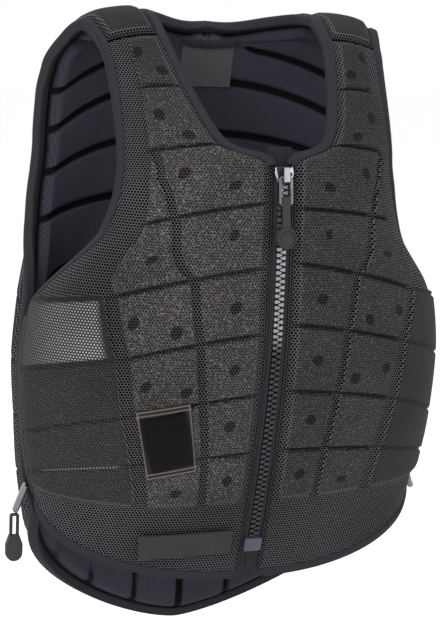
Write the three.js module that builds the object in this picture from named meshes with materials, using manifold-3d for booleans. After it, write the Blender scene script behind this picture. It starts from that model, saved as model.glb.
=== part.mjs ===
// A rider's padded body protector: foam blocks under mesh, worn as a waistcoat with a front zip.
// Millimetres, +Z up. The front faces -Y, the wearer's right is at -X.
// The origin is on the middle plane, at shoulder level under the straps.

import * as THREE from 'three';
import { mergeVertices, mergeGeometries } from 'three/addons/utils/BufferGeometryUtils.js';
import Module from 'manifold-3d';

// Overall sizes
const halfWidth = 206; // middle plane to the outside of the flank
const halfDepth = 120; // middle of the body to the outside of the chest
const bodyDrop = 580; // shoulder level down to the lowest point of the back hem
const foamWall = 15; // foam under the grooves
const blockRise = 4; // a block stands above its grooves, on both faces
const edgeWall = 7; // wall at the bound edges
const edgeBand = 9; // width of the sewn margin along each edge
const grooveWidth = 8;
const clearance = 0.4; // between neighbouring pieces
const seamGap = 1; // between a panel's edge and its binding

// Edge binding
const bindingWidth = 8;
const bindingProud = 1.5; // beyond the panel's edge, on each face

// Padded blocks
const bulge = 1.2; // a block's middle stands above its edges
const channelTop = 7; // the upright channels end at this front row
const frontTop = 9; // front row where the shoulder pad begins
const backTop = 1; // back row where it ends
const backNeck = 3; // the back row that holds the middle of the neckline
const throatRow = 6; // front row where the neckline starts, above the zip
const padGap = 0.03; // in rows, between the shoulder pad and its neighbours
const padRows = [9.25, 9.6, 10, 10.35, 10.7]; // front rows, and on past the top by back rows
const seam = 0.02; // in rows, half the gap where two bindings meet

// Front zip
const tapeHalf = 12.5; // middle of the zip to the panels' edges
const railWidth = 4.1; // one row of teeth
const railThick = 4;
const tapeThick = 1.6;
const tapeSink = 1; // the tape lies this far under the bottom of the grooves
const zipTop = -0.193 * bodyDrop; // height of the slider
const zipBottom = -0.759 * bodyDrop;
const tapeTop = -0.188 * bodyDrop;
const railTuck = 3; // the teeth end inside the slider
const sliderWidth = 17;
const sliderHeight = 15;
const sliderThick = 2.4;
const bailWidth = 5;
const bailHeight = 12;
const bailRise = 6.5;
const bailBar = 1.9;
const bailFoot = 2.2;
const linkWidth = 12.5;
const linkLength = 25;
const linkWire = 2.2;
const linkCut = 2.4;
const tabNeck = 7.4;
const tabLength = 44;
const tabRadius = 9.2;
const tabThick = 3.6;
const tabLip = 5.4; // rubber above the link's lower bar

// Side zips and their pulls
const sideGap = 14; // from the flank line to each panel's edge
const sideZipThick = 3;
const gripLength = 24;
const gripWidth = 15;
const gripThick = 6;
const cordDiameter = 2.6;
const sideZipWidth = 8.4;
const sideZipHigh = 3.85; // in rows, up the flank from the hem
const sideSliderTop = 8; // above the hem's corner
const sideSliderOff = 0.6; // from the flank at its top end
const sideSliderTilt = (22 * Math.PI) / 180; // its foot stands out from the flank
const sideSliderWidth = 9;
const sideSliderLength = 28;
const sideSliderThick = 4;
const cordLoop = 20;
const cordGap = 3.4;
const cordRound = 1.5;
const pullSwing = { right: 0, left: (50 * Math.PI) / 180 }; // back from hanging straight down

// Foot of the front zip
const retainerWidth = 16;
const retainerHeight = 13;
const retainerThick = 4;

// Strap holder, badge, label and hanging loop
const plateThick = 1.6;
const holderInset = 6;
const labelWidth = 54;
const labelHeight = 42;
const labelTop = -0.024 * bodyDrop;
const labelThick = 0.8;
const loopHalf = 29;
const loopSag = 6;
const loopWidth = 4;
const loopThick = 1;

const degree = Math.PI / 180;

// Corners of the strap holder and of the badge on the right front: left to right, top then bottom.
// x in half widths, z in body drops.
const holderCorners = [
  [-0.568, -0.548],
  [-0.354, -0.533],
  [-0.5, -0.655],
  [-0.301, -0.64],
];
const badgeCorners = [
  [-0.505, -0.748],
  [-0.107, -0.741],
  [-0.49, -0.788],
  [-0.107, -0.778],
];

// Columns of the two tables of rows.
// in: the zip's or neck's edge. out: the flank's or armhole's edge.
// x in half widths, y in half depths, z in body drops. turn bends the row's height between its two ends.
// wrap: how much of a quarter turn the row makes round the body.
// mid and side: degrees from the front where the two upright channels cross.
// steps: grid intervals up to the next row. fold: 1 where a groove runs.
// zip and flank: 1 where the row ends at the zip's tape, and at the side zip.
const columnNames = [
  ['name', 'inX', 'inY', 'inZ', 'outX', 'outY', 'outZ', 'turn', 'wrap'],
  ['mid', 'side', 'steps', 'fold', 'zip', 'flank'],
].flat();
const record = (row) => Object.fromEntries(row.map((value, k) => [columnNames[k], value]));
const table = (rows) => rows.map(record);

// Front rows, from the hem up to the shoulder.
const frontRows = table([
  ['hem', 0, -0.62, -0.818, 0.88, 0, -0.71, 1, 1, 12.5, 28.5, 2, 0, 1, 1],
  ['waist', 0, -0.875, -0.617, 0.91, 0, -0.668, 0.9, 1, 14.3, 33.6, 1, 1, 1, 1],
  ['rib', 0, -0.955, -0.525, 0.934, 0, -0.608, 0.8, 1, 16, 36.7, 1, 1, 1, 1],
  ['low', 0, -1, -0.43, 0.947, 0, -0.514, 0.8, 1, 17.5, 38.8, 1, 1, 1, 1],
  ['bust', 0, -1, -0.345, 0.915, 0, -0.418, 0.8, 1, 20.5, 44.5, 3, 1, 1, 1],
  ['chest', 0, -0.99, -0.255, 0.665, -0.52, -0.29, 1, 0.8, 48, 63, 1, 1, 1, 0],
  ['throat', 0, -0.955, -0.186, 0.615, -0.56, -0.23, 1, 0.65, 60, 72, 2, 0, 1, 0],
  ['yoke', 0.235, -0.84, -0.16, 0.6, -0.54, -0.18, 1, 0.6, 50, 68, 2, 1, 0, 0],
  ['collar', 0.345, -0.5, -0.08, 0.6, -0.36, -0.088, 1, 0.5, 35, 62, 1, 1, 0, 0],
  ['strap', 0.395, -0.15, -0.006, 0.615, -0.12, -0.02, 1, 0.45, 30, 60, 1, 1, 0, 0],
  ['top', 0.4, 0.15, 0.026, 0.66, 0.15, 0.012, 1, 0.45, 30, 60, 1, 0, 0, 0],
]);

// Back rows, from the shoulder down to the hem, in the same columns.
const backRows = table([
  ['top', 0.4, 0.15, 0.026, 0.66, 0.15, 0.012, 1, 0.45, 30, 60, 1, 0, 0, 0],
  ['strap', 0.385, 0.36, 0.028, 0.73, 0.33, -0.014, 1, 0.45, 30, 60, 2, 1, 0, 0],
  ['nape', 0.26, 0.6, 0.018, 0.78, 0.45, -0.055, 1, 0.5, 25, 56, 3, 0, 0, 0],
  ['neck', 0, 0.77, -0.01, 0.785, 0.56, -0.1, 1, 0.55, 22, 50, 1, 1, 0, 0],
  ['blade', 0, 0.88, -0.075, 0.785, 0.62, -0.165, 1, 0.6, 22, 50, 1, 1, 0, 0],
  ['middle', 0, 0.95, -0.165, 0.8, 0.62, -0.23, 1, 0.65, 22, 50, 1, 1, 0, 0],
  ['low', 0, 0.96, -0.26, 0.835, 0.52, -0.305, 1, 0.75, 22, 48, 2, 1, 0, 0],
  ['armhole', 0, 0.94, -0.35, 0.905, 0.1, -0.425, 1, 1, 20, 44, 1, 1, 0, 1],
  ['rib', 0, 0.91, -0.44, 0.938, 0, -0.514, 1, 1, 18, 40, 1, 1, 0, 1],
  ['waist', 0, 0.9, -0.53, 0.925, 0, -0.6, 1, 1, 15, 36, 1, 1, 0, 1],
  ['seat', 0, 0.98, -0.68, 0.905, 0, -0.685, 1, 1, 9, 28, 2, 1, 0, 1],
  ['hem', 0, 1.04, -0.992, 0.86, 0.02, -0.745, 0.7, 1, 7, 22, 1, 0, 0, 1],
]);

// The shoulder joins the two tables into one smooth strap.
frontRows.after = backRows[1];
backRows.before = frontRows[frontRows.length - 2];

const materials = {
  mesh: { color: 0x3b3a3b, roughness: 0.85, metalness: 0 },
  binding: { color: 0x3a3a40, roughness: 0.8, metalness: 0 },
  tape: { color: 0x45464b, roughness: 0.8, metalness: 0 },
  gunmetal: { color: 0x6d6d70, roughness: 0.35, metalness: 1 },
  silver: { color: 0xb8b9bd, roughness: 0.28, metalness: 1 },
  rubber: { color: 0x2b2b2d, roughness: 0.6, metalness: 0 },
  frame: { color: 0x5a5150, roughness: 0.7, metalness: 0 },
  gloss: { color: 0x212124, roughness: 0.2, metalness: 0 },
  badge: { color: 0x4a4a4c, roughness: 0.6, metalness: 0 },
  label: { color: 0x3d3d3d, roughness: 0.75, metalness: 0 },
};

const part = new THREE.Group();

function add(name, geometry, look, parent = part) {
  const mesh = new THREE.Mesh(geometry, new THREE.MeshStandardMaterial(materials[look]));
  mesh.name = name;
  parent.add(mesh);
  return mesh;
}

// A smooth curve through a table's column that never passes beyond its own values.
function along(rows, key, t) {
  const last = rows.length - 1;
  const place = Math.min(Math.max(t, 0), last);
  const i = Math.min(Math.floor(place), last - 1);
  const value = (k) => (rows[k] ?? (k < 0 ? rows.before ?? rows[0] : rows.after ?? rows[last]))[key];
  const slope = (k) => {
    const before = value(k) - value(k - 1);
    const after = value(k + 1) - value(k);
    if (k === 0 && !rows.before) return after;
    if (k === last && !rows.after) return before;
    return before * after <= 0 ? 0 : (2 * before * after) / (before + after);
  };
  const f = place - i;
  const f2 = f * f;
  const f3 = f2 * f;
  return (
    value(i) * (2 * f3 - 3 * f2 + 1) +
    slope(i) * (f3 - 2 * f2 + f) +
    value(i + 1) * (3 * f2 - 2 * f3) +
    slope(i + 1) * (f3 - f2)
  );
}

// A half shell: its rows, the side of the body (1 or -1), and how far its edge keeps from the flank line.
class Shell {
  constructor(rows, side, flank) {
    Object.assign(this, { rows, side, flank, last: rows.length - 1 });
  }

  // The surface at the bottom of the grooves: angle in degrees from the middle, t in rows.
  point(angle, t) {
    const get = (key) => along(this.rows, key, t);
    const wrap = get('wrap');
    const a = Math.min(Math.max(angle, -8), 98) * wrap * degree;
    const across = Math.sin(a) / Math.sin(90 * wrap * degree);
    const round = (1 - Math.cos(a)) / (1 - Math.cos(90 * wrap * degree));
    const bend = Math.sign(round) * Math.abs(round) ** get('turn');
    const inX = get('inX') * halfWidth + get('zip') * tapeHalf;
    const inY = get('inY') * halfDepth;
    const outX = get('outX') * halfWidth;
    const outY = get('outY') * halfDepth + get('flank') * this.flank;
    const z = get('inZ') + (get('outZ') - get('inZ')) * bend;
    const x = this.side * (inX + (outX - inX) * across);
    return new THREE.Vector3(x, inY + (outY - inY) * round, z * bodyDrop);
  }

  // Directions at a point: across the row, along the rows, and out of the body.
  frame(angle, t) {
    const step = 0.5;
    const rise = 0.02;
    const across = this.point(angle + step, t).sub(this.point(angle - step, t)).normalize();
    const low = Math.max(t - rise, 0);
    const high = Math.min(t + rise, this.last);
    const up = this.point(angle, high).sub(this.point(angle, low)).normalize();
    const out = new THREE.Vector3().crossVectors(across, up);
    if (Math.abs(this.point(angle, t).x) < 1e-6) out.x = 0; // the two halves of the back meet here
    out.normalize();
    if (this.side < 0) out.negate();
    return { across, up, out };
  }

  offset(angle, t, height) {
    return this.point(angle, t).addScaledVector(this.frame(angle, t).out, height);
  }

  // The angle and row of the surface point at a given x and z, found by steps along both.
  locate(x, z, start) {
    let [angle, t] = start;
    for (let i = 0; i < 30; i += 1) {
      const here = this.point(angle, t);
      const da = this.point(angle + 0.5, t).sub(here).multiplyScalar(2);
      const dt = this.point(angle, t + 0.02).sub(here).multiplyScalar(50);
      const det = da.x * dt.z - da.z * dt.x;
      const ex = x - here.x;
      const ez = z - here.z;
      angle += (ex * dt.z - ez * dt.x) / det;
      t += (da.x * ez - da.z * ex) / det;
    }
    return [angle, t];
  }
}

// A closed solid from a grid of points on two faces. open says where its first edge is left without a wall.
function slab(columns, lines, outer, inner, open = () => false) {
  const vertices = [];
  const index = [];
  const wide = columns.length;
  for (const face of [outer, inner]) {
    for (const t of lines) {
      for (const c of columns) vertices.push(...face(c, t).toArray());
    }
  }
  const size = wide * lines.length;
  const at = (face, i, j) => face * size + j * wide + i;
  const quad = (a, b, c, d) => index.push(a, b, c, a, c, d);
  for (let j = 0; j + 1 < lines.length; j += 1) {
    for (let i = 0; i + 1 < wide; i += 1) {
      quad(at(0, i, j), at(0, i + 1, j), at(0, i + 1, j + 1), at(0, i, j + 1));
      quad(at(1, i, j), at(1, i, j + 1), at(1, i + 1, j + 1), at(1, i + 1, j));
    }
    if (!open(j)) quad(at(0, 0, j), at(0, 0, j + 1), at(1, 0, j + 1), at(1, 0, j));
    const e = wide - 1;
    quad(at(0, e, j), at(1, e, j), at(1, e, j + 1), at(0, e, j + 1));
  }
  const top = lines.length - 1;
  for (let i = 0; i + 1 < wide; i += 1) {
    quad(at(0, i, 0), at(1, i, 0), at(1, i + 1, 0), at(0, i + 1, 0));
    quad(at(0, i, top), at(0, i + 1, top), at(1, i + 1, top), at(1, i, top));
  }
  return solid(vertices, index);
}

// Vertices and triangles made a geometry whose faces point outwards.
function solid(vertices, index) {
  const corner = (k) => new THREE.Vector3().fromArray(vertices, 3 * index[k]);
  let volume = 0;
  for (let k = 0; k < index.length; k += 3) {
    volume += corner(k).dot(corner(k + 1).cross(corner(k + 2)));
  }
  const geometry = new THREE.BufferGeometry();
  geometry.setAttribute('position', new THREE.Float32BufferAttribute(vertices, 3));
  geometry.setIndex(volume > 0 ? index : index.slice().reverse());
  return geometry;
}

// A bar along a line of stations, each with a place and two directions; section is a ring of [w, n] pairs.
function bar(stations, section) {
  const vertices = [];
  const index = [];
  const n = section.length;
  for (const s of stations) {
    for (const [w, h] of section) {
      vertices.push(...s.place.clone().addScaledVector(s.wide, w).addScaledVector(s.out, h).toArray());
    }
  }
  const tri = (a, b, c) => index.push(a, b, c);
  for (let j = 0; j + 1 < stations.length; j += 1) {
    for (let i = 0; i < n; i += 1) {
      const k = (i + 1) % n;
      tri(j * n + i, j * n + k, (j + 1) * n + i);
      tri(j * n + k, (j + 1) * n + k, (j + 1) * n + i);
    }
  }
  const end = (stations.length - 1) * n;
  for (let i = 1; i + 1 < n; i += 1) {
    tri(0, i + 1, i);
    tri(end, end + i, end + i + 1);
  }
  return solid(vertices, index);
}

// Grid lines across a row. at: edge, mid, side or flank. mm: distance from it.
// share: how far on the way across the block that follows.
// kind: e edge, b a block's edge, g the bottom of a groove, m inside a block.
const columnsOf = (margin, inside) => [
  { at: 0, mm: 0, kind: 'e' },
  { at: 0, mm: margin, kind: 'b' },
  ...(inside ? [{ at: 0, share: 0.5, kind: 'm' }] : []),
  { at: 1, mm: -grooveWidth / 2, kind: 'b' },
  { at: 1, mm: 0, kind: 'g' },
  { at: 1, mm: grooveWidth / 2, kind: 'b' },
  ...(inside ? [{ at: 1, share: 0.5, kind: 'm' }] : []),
  { at: 2, mm: -grooveWidth / 2, kind: 'b' },
  { at: 2, mm: 0, kind: 'g' },
  { at: 2, mm: grooveWidth / 2, kind: 'b' },
  { at: 2, share: 0.33, kind: 'm' },
  { at: 2, share: 0.67, kind: 'm' },
  { at: 3, mm: -margin, kind: 'b' },
  { at: 3, mm: 0, kind: 'e' },
];

function angleOf(shell, column, t) {
  const { at, share } = column;
  if (share) {
    const low = angleOf(shell, { at, mm: at === 0 ? edgeBand : grooveWidth / 2 }, t);
    const high = angleOf(shell, { at: at + 1, mm: at === 2 ? -edgeBand : -grooveWidth / 2 }, t);
    return low + share * (high - low);
  }
  const here = [0, along(shell.rows, 'mid', t), along(shell.rows, 'side', t), 90][at];
  const perDegree = shell.point(here + 0.5, t).distanceTo(shell.point(here - 0.5, t));
  return here + column.mm / perDegree;
}

// Grid lines along the rows: a margin at each end, and a groove wherever a row folds.
function linesOf(shell, first, last) {
  const part = 0.05;
  const perRow = (t) => shell.point(45, t + part).distanceTo(shell.point(45, t - part)) / (2 * part);
  const lines = [];
  for (let r = Math.ceil(first); r <= Math.floor(last); r += 1) {
    const groove = grooveWidth / 2 / perRow(Math.min(Math.max(r, part), shell.last - part));
    const margin = (2 * groove * edgeBand) / grooveWidth;
    if (r === first) {
      lines.push({ t: r, kind: 'e' }, { t: r + margin, kind: 'b' });
    } else if (r === last) {
      lines.push({ t: r - margin, kind: 'b' }, { t: r, kind: 'e' });
    } else if (shell.rows[r].fold) {
      lines.push({ t: r - groove, kind: 'b' }, { t: r, kind: 'g' }, { t: r + groove, kind: 'b' });
    } else {
      lines.push({ t: r, kind: 'm' });
    }
    const { steps } = shell.rows[r];
    for (let k = 1; k < steps && r < last; k += 1) lines.push({ t: r + k / steps, kind: 'm' });
  }
  return lines;
}

// Heights of the outer and the inner face above the bottom of the grooves.
function heights(column, line, plain) {
  const kinds = [plain && column.kind !== 'e' ? 'm' : column.kind, line.kind];
  if (kinds.includes('e')) return [0, -edgeWall];
  if (kinds.includes('g')) return [0, -foamWall];
  const full = kinds[0] === 'm' && kinds[1] === 'm' ? bulge : 0;
  return [blockRise + full, -foamWall - blockRise];
}

function panel(shell, columns, lines, plainFrom, open) {
  const face = (k) => (column, line) => {
    const plain = plainFrom(line.t);
    return shell.offset(angleOf(shell, column, line.t), line.t, heights(column, line, plain)[k]);
  };
  return slab(columns, lines, face(0), face(1), open);
}

const front = (side) => new Shell(frontRows, side, -sideGap);
const back = (side) => new Shell(backRows, side, sideGap);

const frontColumns = columnsOf(edgeBand, true);
const backColumns = columnsOf(edgeBand, false);

const sides = [
  { name: 'right', side: -1 },
  { name: 'left', side: 1 },
];

for (const { name, side } of sides) {
  const shell = front(side);
  const lines = linesOf(shell, 0, frontTop);
  lines[lines.length - 1].t -= padGap;
  add(`front_panel_${name}`, panel(shell, frontColumns, lines, (t) => t > channelTop), 'mesh');
}

// Shoulder pads run from the front strap over the top to the back strap.
for (const { name, side } of sides) {
  const shells = [front(side), back(side)];
  const top = frontRows.length - 1;
  const rows = [frontTop + padGap, ...padRows, top + backTop - padGap];
  const kinds = ['e', 'b', 'm', 'm', 'm', 'b', 'e'];
  const face = (k) => (column, row) => {
    const shell = row <= top ? shells[0] : shells[1];
    const t = row <= top ? row : row - top;
    const [outer, inner] = heights(column, { kind: kinds[rows.indexOf(row)] }, true);
    return shell.offset(angleOf(shell, column, t), t, k ? inner : outer);
  };
  add(`shoulder_pad_${name}`, slab(backColumns, rows, face(0), face(1)), 'mesh');
}

// The back is one panel: two halves that share their middle line below the neck.
const halves = sides.map(({ side }) => {
  const shell = back(side);
  const columns = backColumns;
  const lines = linesOf(shell, backTop, shell.last);
  lines[0].t += padGap;
  const middle = (line) => line.t >= backNeck - 1e-9;
  const face = (k) => (column, line) => {
    const inner = middle(line) && column === columns[0] ? { ...column, kind: 'm' } : column;
    const edge = line.t === backNeck && column === columns[0] ? { ...column, kind: 'e' } : inner;
    return shell.offset(angleOf(shell, column, line.t), line.t, heights(edge, line, false)[k]);
  };
  return slab(columns, lines, face(0), face(1), (j) => middle(lines[j]));
});
for (const half of halves) half.deleteAttribute('normal');
add('back_panel', mergeVertices(mergeGeometries(halves), 1e-4), 'mesh');

// The border of a panel: stations on its edge, each with its place, its outward direction and its normal.
// path lists [shell, angle, t] at the panel's own corners, and past a seam the place it points to.
// turn is 1 or -1, for the side the border lies on. before and after: how many such places each end has.
function border(path, turn, before = 0, after = 0) {
  const places = path.map(([shell, angle, t]) => shell.point(angle, t));
  const stations = path.map(([shell, angle, t], i) => {
    const { out } = shell.frame(angle, t);
    const beside = (from, to) => {
      const tangent = places[to].clone().sub(places[from]);
      return new THREE.Vector3().crossVectors(tangent, out).normalize().multiplyScalar(turn);
    };
    const last = i > 0 ? beside(i - 1, i) : beside(0, 1);
    const next = i + 1 < path.length ? beside(i, i + 1) : last;
    const wide = last.clone().add(next).divideScalar(1 + last.dot(next));
    return { place: places[i], wide, out };
  });
  return stations.slice(before, stations.length - after);
}

function spread(from, to, count) {
  return Array.from({ length: count + 1 }, (_, i) => from + ((to - from) * i) / count);
}

const bindingSection = (() => {
  const near = seamGap;
  const far = seamGap + bindingWidth;
  const bevel = near + 0.75 * bindingWidth;
  return [
    [near, bindingProud],
    [bevel, bindingProud],
    [far, -1],
    [far, 1 - edgeWall],
    [bevel, -edgeWall - bindingProud],
    [near, -edgeWall - bindingProud],
  ];
})();

const frontEnd = frontRows.length - 1;
const padFront = [frontTop + padGap, ...padRows.filter((t) => t < frontEnd), frontEnd - seam];
const padBack = [seam, ...padRows.filter((t) => t > frontEnd).map((t) => t - frontEnd), backTop - padGap];

for (const { name, side } of sides) {
  const [shell, behind] = [front(side), back(side)];
  const rows = linesOf(shell, 0, frontTop).map((line) => line.t);
  rows[rows.length - 1] -= padGap;
  const upward = [...rows, ...padFront];
  const outer = [
    ...frontColumns.slice(0, -1).map((column) => [shell, angleOf(shell, column, 0), 0]),
    ...upward.map((t) => [shell, 90, t]),
    [behind, 90, padBack[1]],
  ];
  add(`front_binding_${name}`, bar(border(outer, side, 0, 1), bindingSection), 'binding');
  const neckline = upward.filter((t) => t >= throatRow);
  const inner = [...neckline.map((t) => [shell, 0, t]), [behind, 0, padBack[1]]];
  add(`neck_binding_${name}`, bar(border(inner, -side, 0, 1), bindingSection), 'binding');
}

{
  const hemRow = backRows.length - 1;
  const half = ({ side }) => {
    const shell = back(side);
    const rows = linesOf(shell, backTop, hemRow).map((line) => line.t);
    rows[0] += padGap;
    const down = [...padBack, ...rows];
    const hem = backColumns.slice(1, -1).map((column) => [shell, angleOf(shell, column, hemRow), hemRow]);
    const before = padFront[padFront.length - 2];
    const neck = [[front(side), 0, before], ...down.filter((t) => t < backNeck).map((t) => [shell, 0, t])];
    const outer = [[front(side), 90, before], ...down.map((t) => [shell, 90, t]), ...hem.reverse()];
    return { outer, neck };
  };
  const [right, left] = sides.map(half);
  const middle = (t) => [back(1), 0, t];
  const around = [...right.outer, middle(hemRow), ...left.outer.reverse()];
  add('back_binding', bar(border(around, -1, 1, 1), bindingSection), 'binding');
  const nape = [...right.neck, middle(backNeck), ...left.neck.reverse()];
  add('back_neck_binding', bar(border(nape, 1, 1, 1), bindingSection), 'binding');
}

// The front zip follows the middle line of the two front panels.
const chest = front(1);
const rowAt = (z, height = 'inZ') => {
  let [low, high] = [0, frontEnd];
  for (let i = 0; i < 40; i += 1) {
    const t = (low + high) / 2;
    if (along(frontRows, height, t) * bodyDrop < z) low = t;
    else high = t;
  }
  return (low + high) / 2;
};
const zipPlace = (t) => {
  const { up, out } = chest.frame(0, t);
  const place = chest.point(0, t);
  place.x = 0;
  return { place, wide: new THREE.Vector3(1, 0, 0), up, out };
};
const railEdge = clearance / 2 + railWidth;
const railHigh = 0.35 * railThick;
const mirrored = (section, side) => section.map(([w, h]) => [side * w, h]);
const box = (x0, x1, n0, n1) => [
  [x0, n0],
  [x1, n0],
  [x1, n1],
  [x0, n1],
];

for (const { name, side } of sides) {
  const tape = spread(0.02, rowAt(tapeTop), 14).map(zipPlace);
  const tapeSection = box(railEdge + clearance, tapeHalf - clearance, -tapeSink - tapeThick, -tapeSink);
  add(`zip_tape_${name}`, bar(tape, mirrored(tapeSection, side)), 'tape');
  const rail = spread(rowAt(zipBottom), rowAt(zipTop - railTuck), 14).map(zipPlace);
  const railSection = box(clearance / 2, railEdge, railHigh - railThick, railHigh);
  add(`zip_teeth_${name}`, bar(rail, mirrored(railSection, side)), 'gunmetal');
}

// Zip furniture is drawn in its own plane: x across, y up, z out of the chest.
const wasm = await Module();
wasm.setup();

function manifold(geometry) {
  const bare = geometry.clone();
  for (const name of ['normal', 'uv']) bare.deleteAttribute(name);
  const merged = mergeVertices(bare, 1e-4);
  return new wasm.Manifold(
    new wasm.Mesh({
      numProp: 3,
      vertProperties: new Float32Array(merged.attributes.position.array),
      triVerts: new Uint32Array(merged.index.array),
    }),
  );
}

function geometryOf(body) {
  const mesh = body.getMesh();
  return solid(Array.from(mesh.vertProperties), Array.from(mesh.triVerts));
}

const unite = (...geometries) => geometryOf(geometries.map(manifold).reduce((a, b) => a.add(b)));

// A plate from an outline, with holes, between two heights.
function plate(outline, z0, z1, holes = []) {
  const shape = new THREE.Shape(outline.map(([x, y]) => new THREE.Vector2(x, y)));
  for (const hole of holes) shape.holes.push(new THREE.Path(hole.map(([x, y]) => new THREE.Vector2(x, y))));
  return new THREE.ExtrudeGeometry(shape, { depth: z1 - z0, bevelEnabled: false }).translate(0, 0, z0);
}

const rectangle = (width, y0, y1, cut = 0) => {
  const h = width / 2;
  if (!cut) return box(-h, h, y0, y1);
  return [
    [-h + cut, y0],
    [h - cut, y0],
    [h, y0 + cut],
    [h, y1 - cut],
    [h - cut, y1],
    [-h + cut, y1],
    [-h, y1 - cut],
    [-h, y0 + cut],
  ];
};

function arc(x, y, radius, from, to, count) {
  const at = (a) => [x + radius * Math.cos(a * degree), y + radius * Math.sin(a * degree)];
  return spread(from, to, count).map(at);
}

// A group at a place on a surface, with its z axis along the surface's normal.
function seat(place, wide, out) {
  const group = new THREE.Group();
  const up = new THREE.Vector3().crossVectors(out, wide).normalize();
  const right = new THREE.Vector3().crossVectors(up, out).normalize();
  group.quaternion.setFromRotationMatrix(new THREE.Matrix4().makeBasis(right, up, out));
  group.position.copy(place);
  part.add(group);
  return group;
}

// A grip: a flat drop, narrow at the top and round at the foot, with its lowest point at y0.
function gripOutline(y0) {
  const radius = gripWidth / 2;
  const top = y0 + gripLength;
  return [
    [-0.3 * gripWidth, top],
    [-radius, top - 0.35 * gripLength],
    ...arc(0, y0 + radius, radius, 180, 360, 10),
    [radius, top - 0.35 * gripLength],
    [0.3 * gripWidth, top],
  ];
}

const sliderSeat = (() => {
  const { place, wide, out } = zipPlace(rowAt(zipTop - 4));
  return seat(place, wide, out);
})();
const sink = 0.5; // joined bodies run into each other by this much
const plateLow = railHigh + clearance;
const plateHigh = plateLow + sliderThick;
const under = railHigh - railThick - clearance;
const sliderOutline = [
  [-0.3 * sliderWidth, -0.5 * sliderHeight],
  [0.3 * sliderWidth, -0.5 * sliderHeight],
  [0.5 * sliderWidth, 0.1 * sliderHeight],
  [0.45 * sliderWidth, 0.5 * sliderHeight],
  [-0.45 * sliderWidth, 0.5 * sliderHeight],
  [-0.5 * sliderWidth, 0.1 * sliderHeight],
];
const postTop = 0.43 * sliderHeight;
const post = rectangle(2 * railEdge - 2, postTop - 0.2 * sliderHeight, postTop);
const bailTop = 0.42 * sliderHeight;
const bailBottom = bailTop - bailHeight;
const bailHigh = plateHigh + bailRise;
const foot = (y) => plate(rectangle(bailWidth, y, y + bailFoot), plateHigh - sink, bailHigh - sink);
const sliderBody = unite(
  plate(sliderOutline, plateLow, plateHigh),
  plate(sliderOutline, under - sliderThick, under),
  plate(post, under - sink, plateLow + sink),
  foot(bailTop - bailFoot),
  foot(bailBottom),
  plate(rectangle(bailWidth, bailBottom, bailTop), bailHigh - bailBar, bailHigh),
);
add('zip_slider', sliderBody, 'silver', sliderSeat);

// The pull: a wire link through the slider's bail, and a rubber tab on the link.
const linkLow = plateHigh + (bailRise - bailBar - linkWire) / 2;
const linkHigh = linkLow + linkWire;
const linkTop = bailBottom + bailFoot + 2 * clearance + linkWire;
const linkBottom = linkTop - linkLength;
const linkHole = rectangle(linkWidth - 2 * linkWire, linkBottom + linkWire, linkTop - linkWire, 0.2);
const linkOutline = rectangle(linkWidth, linkBottom, linkTop, linkCut);
add('zip_pull_link', plate(linkOutline, linkLow, linkHigh, [linkHole.reverse()]), 'gunmetal', sliderSeat);

const tabTop = linkBottom + linkWire + tabLip;
const tabCentre = tabTop - tabLength + tabRadius;
const discStart = 90 - Math.asin(tabNeck / 2 / tabRadius) / degree;
const tabOutline = [
  [-tabNeck / 2, tabTop],
  ...arc(0, tabCentre, tabRadius, 180 - discStart, 360 + discStart, 18),
  [tabNeck / 2, tabTop],
];
const tabGap = clearance / 2;
const tabSlot = rectangle(tabNeck + 2, linkBottom - clearance, linkBottom + linkWire + tabGap);
const tabMiddle = (linkLow + linkHigh) / 2;
const tabBody = manifold(plate(tabOutline, tabMiddle - tabThick / 2, tabMiddle + tabThick / 2));
const slot = manifold(plate(tabSlot, linkLow - tabGap, linkHigh + tabGap));
add('zip_pull_tab', geometryOf(tabBody.subtract(slot)), 'rubber', sliderSeat);

// The retainer at the foot of the zip, and the strip that closes the gap below it.
{
  const half = retainerHeight / 2;
  const { place, wide, out } = zipPlace(rowAt(zipBottom - half - clearance));
  const low = clearance - tapeSink;
  const body = plate(rectangle(retainerWidth, -half, half, 1.2), low, low + retainerThick);
  add('zip_retainer', body, 'frame', seat(place, wide, out));
  const tail = spread(0.03, rowAt(zipBottom - retainerHeight - 3 * clearance), 5).map(zipPlace);
  add('zip_tail', bar(tail, box(-railEdge, railEdge, -tapeSink - tapeThick, railHigh)), 'tape');
}

// A flat piece sewn on: a grid between four corners given as x and z. place gives the point over x and z.
function sewn(corners, low, high, place) {
  const steps = spread(0, 1, 4);
  const mix = (k, a, b) => {
    const top = corners[0][k] * (1 - a) + corners[1][k] * a;
    const bottom = corners[2][k] * (1 - a) + corners[3][k] * a;
    return top * (1 - b) + bottom * b;
  };
  const face = (height) => (a, b) => place(mix(0, a, b), mix(1, a, b), height);
  return slab(steps, steps, face(high), face(low));
}

const scaled = (corners) => corners.map(([x, z]) => [x * halfWidth, z * bodyDrop]);

const shrink = (corners, by) => {
  const centre = [0, 1].map((k) => corners.reduce((sum, corner) => sum + corner[k], 0) / 4);
  return corners.map((corner) => corner.map((v, k) => v - Math.sign(v - centre[k]) * by));
};

// The strap holder, a frame with a glossy panel, and the bare badge near the hem.
{
  const shell = front(-1);
  const place = (x, z, height) => shell.offset(...shell.locate(x, z, [20, 0.7]), height);
  const low = blockRise + 1.3 * clearance;
  const high = low + plateThick;
  const above = low + bulge;
  add('strap_holder_frame', sewn(scaled(holderCorners), low, high, place), 'frame');
  const inset = shrink(scaled(holderCorners), holderInset);
  add('strap_holder_panel', sewn(inset, high + clearance, high + clearance + plateThick, place), 'gloss');
  add('hem_badge', sewn(scaled(badgeCorners), above, above + plateThick, place), 'badge');
}

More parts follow.
